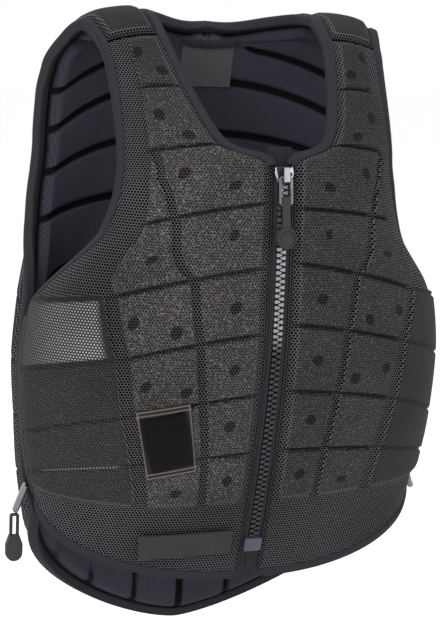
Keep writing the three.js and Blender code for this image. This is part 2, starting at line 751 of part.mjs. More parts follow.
// Inside the back: the neck label and the hanging loop above it.
{
  const shell = back(1);
  const inside = -foamWall - blockRise - bulge - clearance;
  const place = (x, z, height) => {
    const point = shell.offset(...shell.locate(Math.abs(x), z, [5, backNeck + 0.3]), height);
    return point.setX(Math.abs(point.x) * Math.sign(x));
  };
  const across = [-labelWidth / 2, labelWidth / 2];
  const corners = [labelTop, labelTop - labelHeight].flatMap((z) => across.map((x) => [x, z]));
  add('neck_label', sewn(corners, inside - labelThick, inside, place), 'label');
  const level = inside - labelThick - clearance - loopThick;
  const loop = spread(-1, 1, 8).map((a) => ({
    place: place(a * loopHalf, labelTop - 1 + loopSag * a * a, level),
    wide: new THREE.Vector3(0, 0, 1),
    out: new THREE.Vector3(0, 1, 0),
  }));
  add('hanging_loop', bar(loop, box(-loopWidth / 2, loopWidth / 2, 0, loopThick)), 'binding');
}

// Side zips down both flanks, each with a slider and its pull at the foot.
for (const { name, side } of sides) {
  const flank = new Shell(frontRows, side, 0);
  const stations = spread(0, sideZipHigh, 12).map((t) => {
    return { place: flank.point(90, t), wide: new THREE.Vector3(0, 1, 0), out: flank.frame(90, t).out };
  });
  const half = sideZipWidth / 2;
  add(`side_zip_${name}`, bar(stations, box(-half, half, -sideZipThick, 0)), 'tape');
  const corner = flank.point(90, 0);
  const level = corner.z + sideSliderTop;
  const beside = flank.point(90, rowAt(level, 'outZ')).x;
  const top = new THREE.Vector3(beside + side * sideSliderOff, corner.y, level);
  const out = new THREE.Vector3(side * Math.cos(sideSliderTilt), 0, Math.sin(sideSliderTilt));
  const slider = seat(top, new THREE.Vector3(0, side, 0), out);
  const body = plate(rectangle(sideSliderWidth, -sideSliderLength, 0, 2), 0, sideSliderThick);
  add(`side_slider_${name}`, body, 'silver', slider);

  // The pull: a loop of cord with a flat grip, square to the front on the right and along the flank on the left.
  const swing = pullSwing[name];
  const loopWide = cordGap + 2 * cordDiameter;
  const foot = top.clone().addScaledVector(out, sideSliderThick / 2);
  const reach = swing ? sideSliderLength - loopWide : sideSliderLength;
  foot.x += side * reach * Math.sin(sideSliderTilt);
  foot.z -= reach * Math.cos(sideSliderTilt);
  if (swing) foot.y += sideSliderWidth / 2 + clearance + (loopWide / 2 - cordRound) * Math.cos(swing);
  else foot.z -= (sideSliderThick / 2) * Math.sin(sideSliderTilt) + clearance;
  const facing = swing ? new THREE.Vector3(side, 0, 0) : new THREE.Vector3(0, -1, 0);
  const wide = swing ? new THREE.Vector3(0, Math.cos(swing), Math.sin(swing)) : new THREE.Vector3(1, 0, 0);
  const hang = seat(foot, wide, facing);
  const hole = rectangle(cordGap, -cordLoop - 1, -cordDiameter).reverse();
  const outline = rectangle(loopWide, -cordLoop - 2, 0, cordRound);
  const pull = unite(
    plate(outline, -cordDiameter / 2, cordDiameter / 2, [hole]),
    plate(gripOutline(-cordLoop - gripLength), -gripThick / 2, gripThick / 2),
  );
  add(`side_pull_${name}`, pull, 'rubber', hang);
}

export default part;
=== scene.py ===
# A rider's padded body protector, dressed over its solids: foam blocks under mesh, bound edges,
# a front zip with a rubber pull, side zips, and bare patches where the real one is printed.
import math

import bmesh
import bpy
import numpy as np
from mathutils import Matrix, Vector


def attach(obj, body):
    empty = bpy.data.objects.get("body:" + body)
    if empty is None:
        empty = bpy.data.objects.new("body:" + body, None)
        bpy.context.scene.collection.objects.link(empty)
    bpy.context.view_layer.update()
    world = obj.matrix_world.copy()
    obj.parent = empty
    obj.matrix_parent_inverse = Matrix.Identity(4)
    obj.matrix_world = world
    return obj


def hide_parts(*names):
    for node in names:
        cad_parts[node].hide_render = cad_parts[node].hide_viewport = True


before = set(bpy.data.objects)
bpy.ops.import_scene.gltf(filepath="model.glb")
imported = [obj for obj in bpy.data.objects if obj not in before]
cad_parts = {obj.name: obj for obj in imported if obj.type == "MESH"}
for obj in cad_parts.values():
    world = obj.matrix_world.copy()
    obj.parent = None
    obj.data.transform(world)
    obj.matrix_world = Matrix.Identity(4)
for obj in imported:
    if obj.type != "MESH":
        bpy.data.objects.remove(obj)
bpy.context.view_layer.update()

vest = {  # metres, as in the solids, apart from the last line
    "halfWidth": 0.206, "halfDepth": 0.120, "drop": 0.580, "tapeHalf": 0.0125, "sideGap": 0.014,
    "foam": 0.015, "edgeWall": 0.007, "rise": 0.004, "bulge": 0.0016,
    "napeMiddle": 0.002, "napeDepth": 0.05, "napeBand": 0.008, "napePush": 0.037,  # the drawn-up nape
}

# Each row, in shares of the half width, the half depth and the drop: where it starts (x, y, z) and ends;
# then how its height bends, how much of a quarter ellipse it spans, where the two upright channels cross it
# in degrees from the middle, and 1 for a groove, 1 for the zip's edge, 1 for the side zip's edge.
columnNames = "inX inY inZ outX outY outZ turn wrap mid side fold zip flank".split()
frontTable = [
    [0, -0.62, -0.818, 0.88, 0, -0.71, 1, 1, 12.5, 28.5, 0, 1, 1],
    [0, -0.875, -0.617, 0.91, 0, -0.668, 0.9, 1, 14.3, 33.6, 1, 1, 1],
    [0, -0.955, -0.525, 0.934, 0, -0.608, 0.8, 1, 16, 36.7, 1, 1, 1],
    [0, -1, -0.43, 0.947, 0, -0.514, 0.8, 1, 17.5, 38.8, 1, 1, 1],
    [0, -1, -0.345, 0.915, 0, -0.418, 0.8, 1, 20.5, 44.5, 1, 1, 1],
    [0, -0.99, -0.255, 0.665, -0.52, -0.29, 1, 0.8, 45.5, 63, 1, 1, 0],
    [0, -0.955, -0.186, 0.615, -0.56, -0.23, 1, 0.65, 62, 72, 0, 1, 0],
    [0.235, -0.84, -0.16, 0.6, -0.54, -0.18, 1, 0.6, 60, 68, 1, 0, 0],
    [0.345, -0.5, -0.08, 0.6, -0.36, -0.088, 1, 0.5, 35, 62, 1, 0, 0],
    [0.395, -0.15, -0.006, 0.615, -0.12, -0.02, 1, 0.45, 30, 60, 1, 0, 0],
    [0.4, 0.15, 0.026, 0.66, 0.15, 0.012, 1, 0.45, 30, 60, 0, 0, 0],
]
backTable = [
    [0.4, 0.15, 0.026, 0.66, 0.15, 0.012, 1, 0.45, 30, 60, 0, 0, 0],
    [0.385, 0.36, 0.028, 0.73, 0.33, -0.014, 1, 0.45, 30, 60, 1, 0, 0],
    [0.26, 0.6, 0.018, 0.78, 0.45, -0.055, 1, 0.5, 25, 56, 0, 0, 0],
    [0, 0.77, -0.01, 0.785, 0.56, -0.1, 1, 0.55, 22, 50, 1, 0, 0],
    [0, 0.88, -0.075, 0.785, 0.62, -0.165, 1, 0.6, 22, 50, 1, 0, 0],
    [0, 0.95, -0.165, 0.8, 0.62, -0.23, 1, 0.65, 22, 50, 1, 0, 0],
    [0, 0.96, -0.26, 0.835, 0.52, -0.305, 1, 0.75, 22, 48, 1, 0, 0],
    [0, 0.94, -0.35, 0.905, 0.1, -0.425, 1, 1, 20, 44, 1, 0, 1],
    [0, 0.91, -0.44, 0.938, 0, -0.514, 1, 1, 18, 40, 1, 0, 1],
    [0, 0.9, -0.53, 0.925, 0, -0.6, 1, 1, 15, 36, 1, 0, 1],
    [0, 0.98, -0.68, 0.905, 0, -0.685, 1, 1, 9, 28, 1, 0, 1],
    [0, 1.04, -0.992, 0.86, 0.02, -0.745, 0.77, 1, 7, 22, 0, 0, 1],
]

# Rows by their place: where the front's neck edge starts, the ends of the panels beside the shoulder pads,
# the seam on top of the shoulder, the back neck edge's corner and middle, and the back's hem
rowAt = {"neck": 6, "frontTop": 9, "seam": 10, "backTop": 1, "napeCorner": 2, "nape": 3, "hem": 11}
padGap = 0.03  # in rows, between a panel and a shoulder pad
stepAngle, stepRow = 0.5, 0.02  # degrees and rows between two points of a slope
overrun = 8  # degrees that a slope's point may pass a row's end


def makeRows(table, before=None, after=None):
    # slopes: the harmonic mean of the steps on both sides, so a column never passes beyond its own values
    fold = columnNames.index("fold")
    rows = {"last": len(table) - 1, "folds": [k for k, row in enumerate(table) if row[fold]]}
    for k, name in enumerate(columnNames):
        value = np.array([row[k] for row in table], float)
        step = np.diff(value)
        first = value[0] - before[k] if before else None
        final = after[k] - value[-1] if after else None
        left = np.concatenate(([step[0] if first is None else first], step))
        right = np.concatenate((step, [step[-1] if final is None else final]))
        both = left * right
        slope = np.where(both > 0, 2 * both / np.where(left + right == 0, 1, left + right), 0)
        if first is None:
            slope[0] = step[0]
        if final is None:
            slope[-1] = step[-1]
        rows[name] = (value, slope)
    return rows


frontRows = makeRows(frontTable, after=backTable[1])
backRows = makeRows(backTable, before=frontTable[-2])


def along(rows, name, t):
    # cubic between rows i and i + 1, from their values and slopes
    value, slope = rows[name]
    t = np.clip(t, 0, rows["last"])
    i = np.minimum(t.astype(int), rows["last"] - 1)
    f = t - i
    return (value[i] * (2 * f**3 - 3 * f**2 + 1) + slope[i] * (f**3 - 2 * f**2 + f)
            + value[i + 1] * (3 * f**2 - 2 * f**3) + slope[i + 1] * (f**3 - f**2))


def napeEdge():
    # the back neck edge from the middle to its corner, and how far it is lifted and pushed back to a parabola
    t = np.linspace(rowAt["nape"], rowAt["napeCorner"], 200)
    x, z = along(backRows, "inX", t) * vest["halfWidth"], along(backRows, "inZ", t) * vest["drop"]
    y, reach = along(backRows, "inY", t) * vest["halfDepth"], (x / x[-1]) ** 2
    level = vest["napeMiddle"] + (z[-1] - vest["napeMiddle"]) * reach
    return {"x": x, "z": z, "lift": level - z, "push": y[0] + (y[-1] - y[0]) * reach - y}


napeShape = napeEdge()


def shell(rows, side, flank):
    # one half of the front or the back; turned tells that its grid's faces come out facing in
    front = rows is frontRows
    turned = side < 0 if front else side > 0
    return {"rows": rows, "side": side, "flank": flank, "front": front, "turned": turned}


def drawnUp(x, y, z):
    # behind the neck the cloth is drawn up until its edge is a parabola, less and less further down
    shape = napeShape
    depth = np.interp(x, shape["x"], shape["z"]) - z
    share = np.clip(1 - depth / vest["napeDepth"], 0, 1) ** 2
    away = np.clip(depth / vest["napeBand"], 0, 1)
    reach = np.clip(x / shape["x"][-1], 0, 1)
    smoothLift = shape["lift"][0] * (1 - reach**2) ** 2
    smoothPush = vest["napePush"] * reach**2 * (1 - reach)
    lift = np.interp(x, shape["x"], shape["lift"]) * (1 - away) + smoothLift * away
    push = np.interp(x, shape["x"], shape["push"]) * (1 - away) + smoothPush * away
    return y + push * share, z + lift * share


def point(s, angle, t):
    # a row runs from its inner to its outer end as part of an ellipse; turn bends its height between them
    angle, t = np.broadcast_arrays(np.asarray(angle, float), np.asarray(t, float))
    get = lambda name: along(s["rows"], name, t)
    wrap = get("wrap")
    a = np.radians(np.clip(angle, -overrun, 90 + overrun) * wrap)
    whole = np.radians(90 * wrap)
    across = np.sin(a) / np.sin(whole)
    turned = (1 - np.cos(a)) / (1 - np.cos(whole))
    bend = turned ** get("turn")
    inX = get("inX") * vest["halfWidth"] + get("zip") * vest["tapeHalf"]
    inY = get("inY") * vest["halfDepth"]
    outX = get("outX") * vest["halfWidth"]
    outY = get("outY") * vest["halfDepth"] + get("flank") * s["flank"]
    z = (get("inZ") + (get("outZ") - get("inZ")) * bend) * vest["drop"]
    x, y = inX + (outX - inX) * across, inY + (outY - inY) * turned
    if not s["front"]:
        y, z = drawnUp(x, y, z)
    return np.stack((s["side"] * x, y, z), -1)


def unit(v):
    return v / np.maximum(np.linalg.norm(v, axis=-1, keepdims=True), 1e-12)


def outward(s, angle, t):
    # the cross product of the steps across and along the rows
    across = point(s, angle + stepAngle, t) - point(s, angle - stepAngle, t)
    low, high = np.maximum(t - stepRow, 0), np.minimum(t + stepRow, s["rows"]["last"])
    up = point(s, angle, high) - point(s, angle, low)
    out = np.cross(across, up)
    out[..., 0] = np.where(np.abs(point(s, angle, t)[..., 0]) < 1e-5, 0, out[..., 0])
    return unit(out) * s["side"]


def offset(s, angle, t, height):
    return point(s, angle, t) + outward(s, angle, t) * np.asarray(height)[..., None]


def locate(s, x, z, angle, t):
    # steps of Newton's method from (angle, t) to the surface point over x and z
    angle, t = np.full(np.shape(x), float(angle)), np.full(np.shape(x), float(t))
    for _ in range(30):
        here = point(s, angle, t)
        da = (point(s, angle + stepAngle, t) - here) / stepAngle
        dt = (point(s, angle, t + stepRow) - here) / stepRow
        det = da[..., 0] * dt[..., 2] - da[..., 2] * dt[..., 0]
        ex, ez = x - here[..., 0], z - here[..., 2]
        angle = angle + (ex * dt[..., 2] - ez * dt[..., 0]) / det
        t = t + (da[..., 0] * ez - da[..., 2] * ex) / det
    return angle, t


print("shells ready")


def soft(x, low, high):
    # a smooth step from 0 at low to 1 at high
    f = np.clip((x - low) / (high - low), 0, 1)
    return f * f * (3 - 2 * f)


def fade(x, low, high, least):
    # 1 at low, falling smoothly to the least value at high
    return least + (1 - least) * (1 - soft(x, low, high))


def window(x, start, full, last, end):
    # a smooth step up and a smooth step down again
    return soft(x, start, full) * (1 - soft(x, last, end))


def gridFaces(rows, columns, start=0, closed=False):
    # quads between neighbouring rows and columns; closed joins the last column to the first
    j = np.arange(rows - 1)[:, None]
    i = np.arange(columns if closed else columns - 1)[None, :]
    k = (i + 1) % columns
    corners = (j * columns + i, j * columns + k, (j + 1) * columns + k, (j + 1) * columns + i)
    return np.stack(np.broadcast_arrays(*corners), -1).reshape(-1, 4) + start


def slabPart(outer, inner, uv, values=None, turned=False, firstRows=None, lined=True):
    # a closed slab: the outer grid, the inner one facing back, and walls between their borders; the first
    # column's wall takes only so many rows, and a lined slab has its second material inside
    rows, columns = outer.shape[:2]
    count = rows * columns
    index = np.arange(count).reshape(rows, columns)
    borders = (index[0, ::-1], index[-1], index[::-1, -1], index[:firstRows, 0])
    walls = [np.stack((rim[:-1], rim[1:], rim[1:] + count, rim[:-1] + count), -1) for rim in borders]
    front, back = gridFaces(rows, columns), gridFaces(rows, columns, count)[:, ::-1]
    faces = np.concatenate((front, back, *walls))
    slots = np.zeros(len(faces), int)
    slots[len(front):len(front) + len(back)] = lined
    twice = lambda x, width: np.concatenate((x.reshape(-1, width), x.reshape(-1, width)))
    return {"points": np.concatenate((outer.reshape(-1, 3), inner.reshape(-1, 3))), "uv": twice(uv, 2),
            "faces": faces[:, ::-1] if turned else faces, "slots": slots,
            "values": {k: twice(x, 1).ravel() for k, x in (values or {}).items()}}


def makePiece(name, part, materials=(), body="vest", sharp=45):
    # a part's points and quads, with the points' places on the cloth and named values, as one mesh object
    mesh = bpy.data.meshes.new(name)
    points, faces = part["points"].reshape(-1, 3), part["faces"]
    count = len(faces)
    mesh.vertices.add(len(points))
    mesh.vertices.foreach_set("co", points.ravel())
    mesh.loops.add(faces.size)
    mesh.loops.foreach_set("vertex_index", faces.ravel())
    mesh.polygons.add(count)
    for setting, value in (("loop_start", np.arange(count) * 4), ("loop_total", np.full(count, 4)),
                           ("use_smooth", np.full(count, True)), ("material_index", part.get("slots"))):
        if value is not None:
            mesh.polygons.foreach_set(setting, value)
    mesh.update(calc_edges=True)
    if "uv" in part:
        layer = mesh.uv_layers.new(name="cloth")
        layer.data.foreach_set("uv", part["uv"][faces.ravel()].ravel())
    for key, value in part.get("values", {}).items():
        attribute = mesh.attributes.new(key, "FLOAT", "POINT")
        attribute.data.foreach_set("value", value)
    if sharp:
        mesh.set_sharp_from_angle(angle=math.radians(sharp))
    for material in materials:
        mesh.materials.append(material)
    piece = bpy.data.objects.new(name, mesh)
    bpy.context.collection.objects.link(piece)
    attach(piece, body)
    return piece


def mergePoints(piece, distance=1e-5, outwards=False):
    work = bmesh.new()
    work.from_mesh(piece.data)
    bmesh.ops.remove_doubles(work, verts=work.verts, dist=distance)
    if outwards:
        bmesh.ops.recalc_face_normals(work, faces=work.faces)
    work.to_mesh(piece.data)
    work.free()


def runAlong(points, axis):
    # distance along a grid's own lines, from their first point
    step = np.linalg.norm(np.diff(points, axis=axis), axis=-1)
    return np.concatenate((np.zeros_like(np.take(step, [0], axis)), np.cumsum(step, axis)), axis)


# The mesh's pull over the foam: a cloth held in every groove and at every edge, pressed out from behind
pull = {
    "perBlock": 9, "frames": 20, "pressure": 4.0, "stiffness": 12,
    "held": 0.0035, "most": 0.0026,  # metres: how near a groove or edge it is held, and the most it moves out
}


def settle(s, cut):
    # how far the pressed cloth moves out at each point of an even grid of blocks and rows
    start, end = cut["start"], cut["end"]
    block = np.linspace(0, 3, 3 * pull["perBlock"] + 1)
    lines = np.linspace(start, end, int(round((end - start) * pull["perBlock"])) + 1)
    B, T = np.meshgrid(block, lines)
    A = blockAngles(s, B, T)
    r = relief(s, A, T, cut)
    worn = lean(s, A, T)
    rest = offset(s, A, worn, vest["rise"] * r["block"])
    faces = gridFaces(*T.shape)
    piece = makePiece("cloth", {"points": rest, "faces": faces[:, ::-1] if s["turned"] else faces})
    held = np.flatnonzero((r["near"] < pull["held"]) | (r["bare"] > 0.5))
    group = piece.vertex_groups.new(name="held")
    group.add(held.tolist(), 1.0, "REPLACE")
    cloth = piece.modifiers.new("cloth", "CLOTH")
    cloth.settings.vertex_group_mass = "held"
    cloth.settings.use_pressure = True
    cloth.settings.uniform_pressure_force = pull["pressure"]
    cloth.settings.tension_stiffness = cloth.settings.compression_stiffness = pull["stiffness"]
    cloth.settings.effector_weights.gravity = 0
    cloth.point_cache.frame_end = pull["frames"]
    for f in range(1, pull["frames"] + 1):
        bpy.context.scene.frame_set(f)
    moved = np.empty(rest.size)
    shown = piece.evaluated_get(bpy.context.evaluated_depsgraph_get())
    shown.data.vertices.foreach_get("co", moved)
    bpy.context.scene.frame_set(1)
    bpy.data.objects.remove(piece)
    out = np.sum((moved.reshape(rest.shape) - rest) * outward(s, A, worn), -1)
    print("cloth settled", len(held), "held, out by", np.percentile(out, (5, 50, 95)).round(4))
    return np.clip(out, 0, pull["most"])


def readField(field, block, lines, B, T):
    # a straight-line read of an even grid of values, kept just inside its last row and column
    u = np.clip((B - block[0]) / (block[1] - block[0]) * (field.shape[1] - 1), 0, field.shape[1] - 1.001)
    v = np.clip((T - lines[0]) / (lines[1] - lines[0]) * (field.shape[0] - 1), 0, field.shape[0] - 1.001)
    i, j = u.astype(int), v.astype(int)
    u, v = u - i, v - j
    low = field[j, i] * (1 - u) + field[j, i + 1] * u
    high = field[j + 1, i] * (1 - u) + field[j + 1, i + 1] * u
    return low * (1 - v) + high * v


# Padded panels, in metres unless a line says otherwise
padding = {
    # grid lines from a groove to a block's middle, and how near one may come to an end, in shares of a block
    "steps": [0, 0.010, 0.022, 0.036, 0.052, 0.072, 0.10, 0.14, 0.19, 0.25, 0.32, 0.40, 0.5], "gap": 0.006,
    "crease": (0.0003, 0.0030), "channel": (0.0022, 0.0050),  # flat bottom, then up to the block
    "sideChannel": 0.0045,  # how much wider the front's side channel is, towards the flank
    "flankStart": (0.004, 0.012), "flankTop": 5.2, "flankDepth": 0.55,  # beyond it creases are shallower
    "pillow": 0.022,  # how far in from its edges a block still swells
    "edgeStart": 0.001, "padEdgeStart": 0.0005, "edgeSlope": 0.010,
    "napeGroove": (10, 24), "napePlain": 0.02,  # degrees over which the nape's groove comes in
    "marginRows": (4.02, 4.08), "backMargin": 4, "backMarginTop": 1.9,  # bare margins: rows, degrees, a row
    "hemStart": 0.56, "hemEdge": (-0.002, 0.004),  # the row where the front's blocks end above the hem
    "liningRise": 0.0040, "liningSwell": 0.001, "liningGroove": (0.0020, 0.0062),
    "hemGrooves": (0, 16.5, 34.5, 55), "hemGrooveTop": 10,  # in the tail's lining: degrees, and their top row
}
far = 1.0  # more than any groove reaches

# Each panel's first and last row, the row beyond which it has no middle channel, the row from which its two
# halves are one, and the row that the mesh's own places are counted from
frontCut = {"start": 0.0, "end": rowAt["frontTop"] - padGap, "plain": 7, "shared": math.inf, "anchor": 2}
backCut = {"start": rowAt["backTop"] + padGap, "end": rowAt["hem"],
           "plain": math.inf, "shared": rowAt["nape"], "anchor": 9}

# The painted sheen patch on the right flank, the stitched line below it, and the painted glints: rows and
# blocks, and for a fade the value that is left
litPatch = {"rows": (3.03, 3.07, 3.93, 3.97), "blocks": (2.10, 2.13, 2.88, 2.92), "fade": (2.10, 2.95, 0.12)}
stitched = {"row": 1, "width": (0.008, 0.020), "blocks": (2.12, 2.14, 2.72, 2.74)}
glints = {"rows": (6.6, 9.2, 0.15), "blocks": (1.95, 2.02, 0.25), "shaded": 0.5, "pads": 0.12}

# Small groups of holes through the front blocks: degrees from the middle, row
holeGroups = [
    (48, 8.58), (22, 8.24), (45, 7.56), (25, 7.23), (47.5, 5.95), (18.5, 5.45), (14, 4.55), (38.5, 4.4),
    (37, 3.53), (24.5, 3.25), (8.5, 3.48), (32.5, 2.5), (21, 2.27), (8, 2.5), (8, 1.5), (7, 0.75), (22, 0.66),
]
spotReach = 0.009  # metres

# How far each front row is pulled up at the zip, the side channel and the flank's end, by side: rows 0 to 7
frontPull = {
    -1: ([0, 0, 0, -0.03, 0.12, 0.20, 0.06, 0],
         [0, -0.06, -0.12, -0.18, -0.10, -0.05, 0, 0],
         [0, 0, 0, 0.04, 0.12, 0, 0, 0]),
    1: ([0, 0.02, 0.04, 0.12, 0.20, 0.10, 0.04, 0], [0, 0.03, 0.03, 0, -0.06, 0, 0, 0], [0] * 8),
}


def straight(s, name, t):
    # a column read along straight lines from row to row
    value = s["rows"][name][0]
    return np.interp(t, np.arange(len(value)), value)


def crowded(start, end):
    # grid lines from start to end, closest beside each whole number
    half = np.array(padding["steps"])
    whole = np.arange(np.floor(start), np.ceil(end))[:, None]
    lines = np.unique(np.round(np.concatenate((whole + half, whole + 1 - half)).ravel(), 6))
    inside = lines[(lines > start + padding["gap"]) & (lines < end - padding["gap"])]
    return np.concatenate(([start], inside, [end]))


def blockAngles(s, block, t):
    # block 0 to 1 is the one by the middle, 1 to 2 between the upright channels, 2 to 3 out to the edge
    mid, side = straight(s, "mid", t), straight(s, "side", t)
    nodes = [np.zeros_like(mid), mid, side, np.full_like(mid, 90)]
    k = np.clip(block.astype(int), 0, 2)
    low, high = np.choose(k, nodes[:3]), np.choose(k, nodes[1:])
    return low + (high - low) * (block - k)


def metresPer(s, angle, t):
    # metres for each degree and for each row at a point
    perDegree = np.linalg.norm(point(s, angle + 0.5, t) - point(s, angle - 0.5, t), axis=-1)
    low, high = np.maximum(t - 0.05, 0), np.minimum(t + 0.05, s["rows"]["last"])
    perRow = np.linalg.norm(point(s, angle, high) - point(s, angle, low), axis=-1) / (high - low)
    return perDegree, perRow


def relief(s, angle, t, cut):
    # how far each point stands on a block: the product of smooth steps away from every groove and edge
    p, start, end = padding, cut["start"], cut["end"]
    perDegree, perRow = metresPer(s, angle, t)
    mid, side = straight(s, "mid", t), straight(s, "side", t)
    across = (angle - side) * perDegree
    nearSide = np.maximum(-across, across - (p["sideChannel"] if s["front"] else 0)).clip(0)
    nearMid = np.where(t > cut["plain"], far, np.abs(angle - mid) * perDegree)
    middle = np.where(t >= cut["shared"], far, angle * perDegree)
    edge = np.minimum.reduce(((90 - angle) * perDegree, (t - start) * perRow, (end - t) * perRow, middle))
    grooves = {row: np.abs(t - row) * perRow for row in s["rows"]["folds"] if start < row < end}
    if not s["front"]:
        grooves[rowAt["nape"]] += p["napePlain"] * (1 - soft(angle, *p["napeGroove"]))
    folds = np.minimum.reduce(list(grooves.values()))
    channel = soft(nearMid, *p["channel"]) * soft(nearSide, *p["channel"])
    crease = soft(folds, *p["crease"])
    rim = soft(edge, p["edgeStart"], p["edgeSlope"])
    near = (nearMid, nearSide, folds, edge)
    swell = np.prod([soft(distance, 0, p["pillow"]) for distance in near], axis=0)
    lining = np.minimum(folds, edge)
    if s["front"]:
        flank = soft(across, *p["flankStart"]) * (t < p["flankTop"])
        crease = 1 - (1 - crease) * (1 - flank * (1 - p["flankDepth"]))
        margin = (across > 0) * soft(t, *p["marginRows"])
        bare = np.maximum(margin, 1 - soft((t - p["hemStart"]) * perRow, *p["hemEdge"]))
    else:
        bare = 1.0 * ((angle > side + p["backMargin"]) & (t < p["backMarginTop"]))
        grooved = np.minimum.reduce([np.abs(angle - at) * perDegree for at in p["hemGrooves"]])
        lining = np.where(t > p["hemGrooveTop"], np.minimum(lining, grooved), lining)
    cover = 1 - bare
    return {"block": channel * crease * rim * cover, "open": channel * rim * cover,
            "crease": 1 - (1 - crease) * cover, "near": np.minimum.reduce(near), "swell": swell * cover,
            "rim": rim, "bare": bare, "lining": soft(lining, *p["liningGroove"])}


def lean(s, angle, t):
    # rows as the cloth wears them: each one pulled up at the zip and let down at the side channel, in rows
    if not s["front"]:
        return t
    zipPull, sidePull, flankPull = (np.interp(t, np.arange(8), pulls) for pulls in frontPull[s["side"]])
    side = straight(s, "side", t)
    flank = np.clip((angle - side) / (90 - side), 0, 1)
    return t + zipPull + (sidePull - zipPull) * np.clip(angle / side, 0, 1) + (flankPull - sidePull) * flank


def spotField(s, angle, t):
    # 1 at the middle of a group of holes, falling to 0 at its reach
    perDegree, perRow = metresPer(s, angle, t)
    spot = np.zeros_like(t)
    for a, r in holeGroups:
        spot = np.maximum(spot, 1 - np.hypot((angle - a) * perDegree, (t - r) * perRow) / spotReach)
    return spot


def halfPanel(s, cut):
    # a closed slab between two offsets of the shell, on a grid of blocks across and rows along
    p, v = padding, vest
    lines = crowded(cut["start"], cut["end"])
    B, T = np.meshgrid(crowded(0, 3), lines)
    A = blockAngles(s, B, T)
    r = relief(s, A, T, cut)
    swell = readField(settle(s, cut), (0, 3), (cut["start"], cut["end"]), B, T) * (1 - r["bare"])
    outerHeight = v["rise"] * r["block"] + swell
    foamDepth = v["edgeWall"] + (v["foam"] - v["edgeWall"]) * r["rim"]
    innerHeight = -foamDepth - p["liningRise"] * r["lining"] - p["liningSwell"] * r["swell"]
    worn = lean(s, A, T)
    base, outer, inner = point(s, A, worn), offset(s, A, worn, outerHeight), offset(s, A, worn, innerHeight)

    # the mesh's own places: level arcs from the middle plane, and heights from the middle edge
    u = runAlong(base * (1, 1, 0), 1) + np.abs(base[:, :1, 0])
    w = runAlong(base[:, :1] * (0, 1, 1), 0) + (base[..., 2] - base[:, :1, 2]) * (1 if s["front"] else -1)
    w = w - w[np.argmin(np.abs(lines - cut["anchor"])), 0]

    # the right front is the side the light falls on, for the painted sheen patch and the painted glints below
    lit = s["front"] and s["side"] < 0
    nothing = np.zeros_like(T)
    # painted sheen: a patch on the right flank whose holes show a pale painted highlight, fading out towards
    # the edge
    patch = window(T, *litPatch["rows"]) * window(B, *litPatch["blocks"]) * fade(B, *litPatch["fade"])
    line = (1 - soft(np.abs(T - stitched["row"]), *stitched["width"])) * window(B, *stitched["blocks"])
    # painted glints: weaker beyond the side channel, and half as strong off the lit right front
    shine = fade(B, *glints["blocks"]) * (1.0 if lit else glints["shaded"])
    values = {
        "open": r["open"], "crease": r["crease"], "spot": spotField(s, A, T) if s["front"] else nothing,
        "paintedSheen": patch * lit, "shine": shine * fade(T, *glints["rows"]) if s["front"] else shine,
        "stitch": line * lit, "lining": r["lining"],
    }
    wallRows = np.sum(lines < cut["shared"]) + 1
    return slabPart(outer, inner, np.stack((u * s["side"], w), -1) * 1000, values, s["turned"], wallRows)


def joinParts(parts):
    # several slabs as one: points one after another, faces counted on
    starts = np.cumsum([0] + [len(part["points"]) for part in parts])
    joined = {k: np.concatenate([part[k] for part in parts]) for k in ("points", "uv", "slots")}
    joined["faces"] = np.concatenate([part["faces"] + start for part, start in zip(parts, starts)])
    joined["values"] = {k: np.concatenate([part["values"][k] for part in parts]) for k in parts[0]["values"]}
    return joined


# Materials
class Wire:
    # a node's socket that adds up, multiplies and compares like a number
    def __init__(self, build, socket):
        self.build, self.socket = build, socket

    def maths(self, operation, *others):
        return self.build.node("ShaderNodeMath", {"operation": operation}, dict(enumerate((self, *others))))

    def __add__(self, other): return self.maths("ADD", other)
    def __radd__(self, other): return self.maths("ADD", other)
    def __sub__(self, other): return self.maths("SUBTRACT", other)
    def __rsub__(self, other): return self.build.value(other).maths("SUBTRACT", self)
    def __mul__(self, other): return self.maths("MULTIPLY", other)
    def __rmul__(self, other): return self.maths("MULTIPLY", other)
    def __truediv__(self, other): return self.maths("DIVIDE", other)
    def __rtruediv__(self, other): return self.build.value(other).maths("DIVIDE", self)
    def __pow__(self, other): return self.maths("POWER", other)
    def __mod__(self, other): return self.maths("FLOORED_MODULO", other)
    def __gt__(self, other): return self.maths("GREATER_THAN", other)
    def __lt__(self, other): return self.maths("LESS_THAN", other)
    def least(self, other): return self.maths("MINIMUM", other)
    def most(self, other): return self.maths("MAXIMUM", other)
    def down(self): return self.maths("FLOOR")
    def sine(self): return self.maths("SINE")
    def size(self): return self.maths("ABSOLUTE")

    def ramp(self, low, high):
        inputs = {"Value": self, "From Min": low, "From Max": high, "To Min": 0.0, "To Max": 1.0}
        return self.build.node("ShaderNodeMapRange", {"interpolation_type": "SMOOTHSTEP"}, inputs)


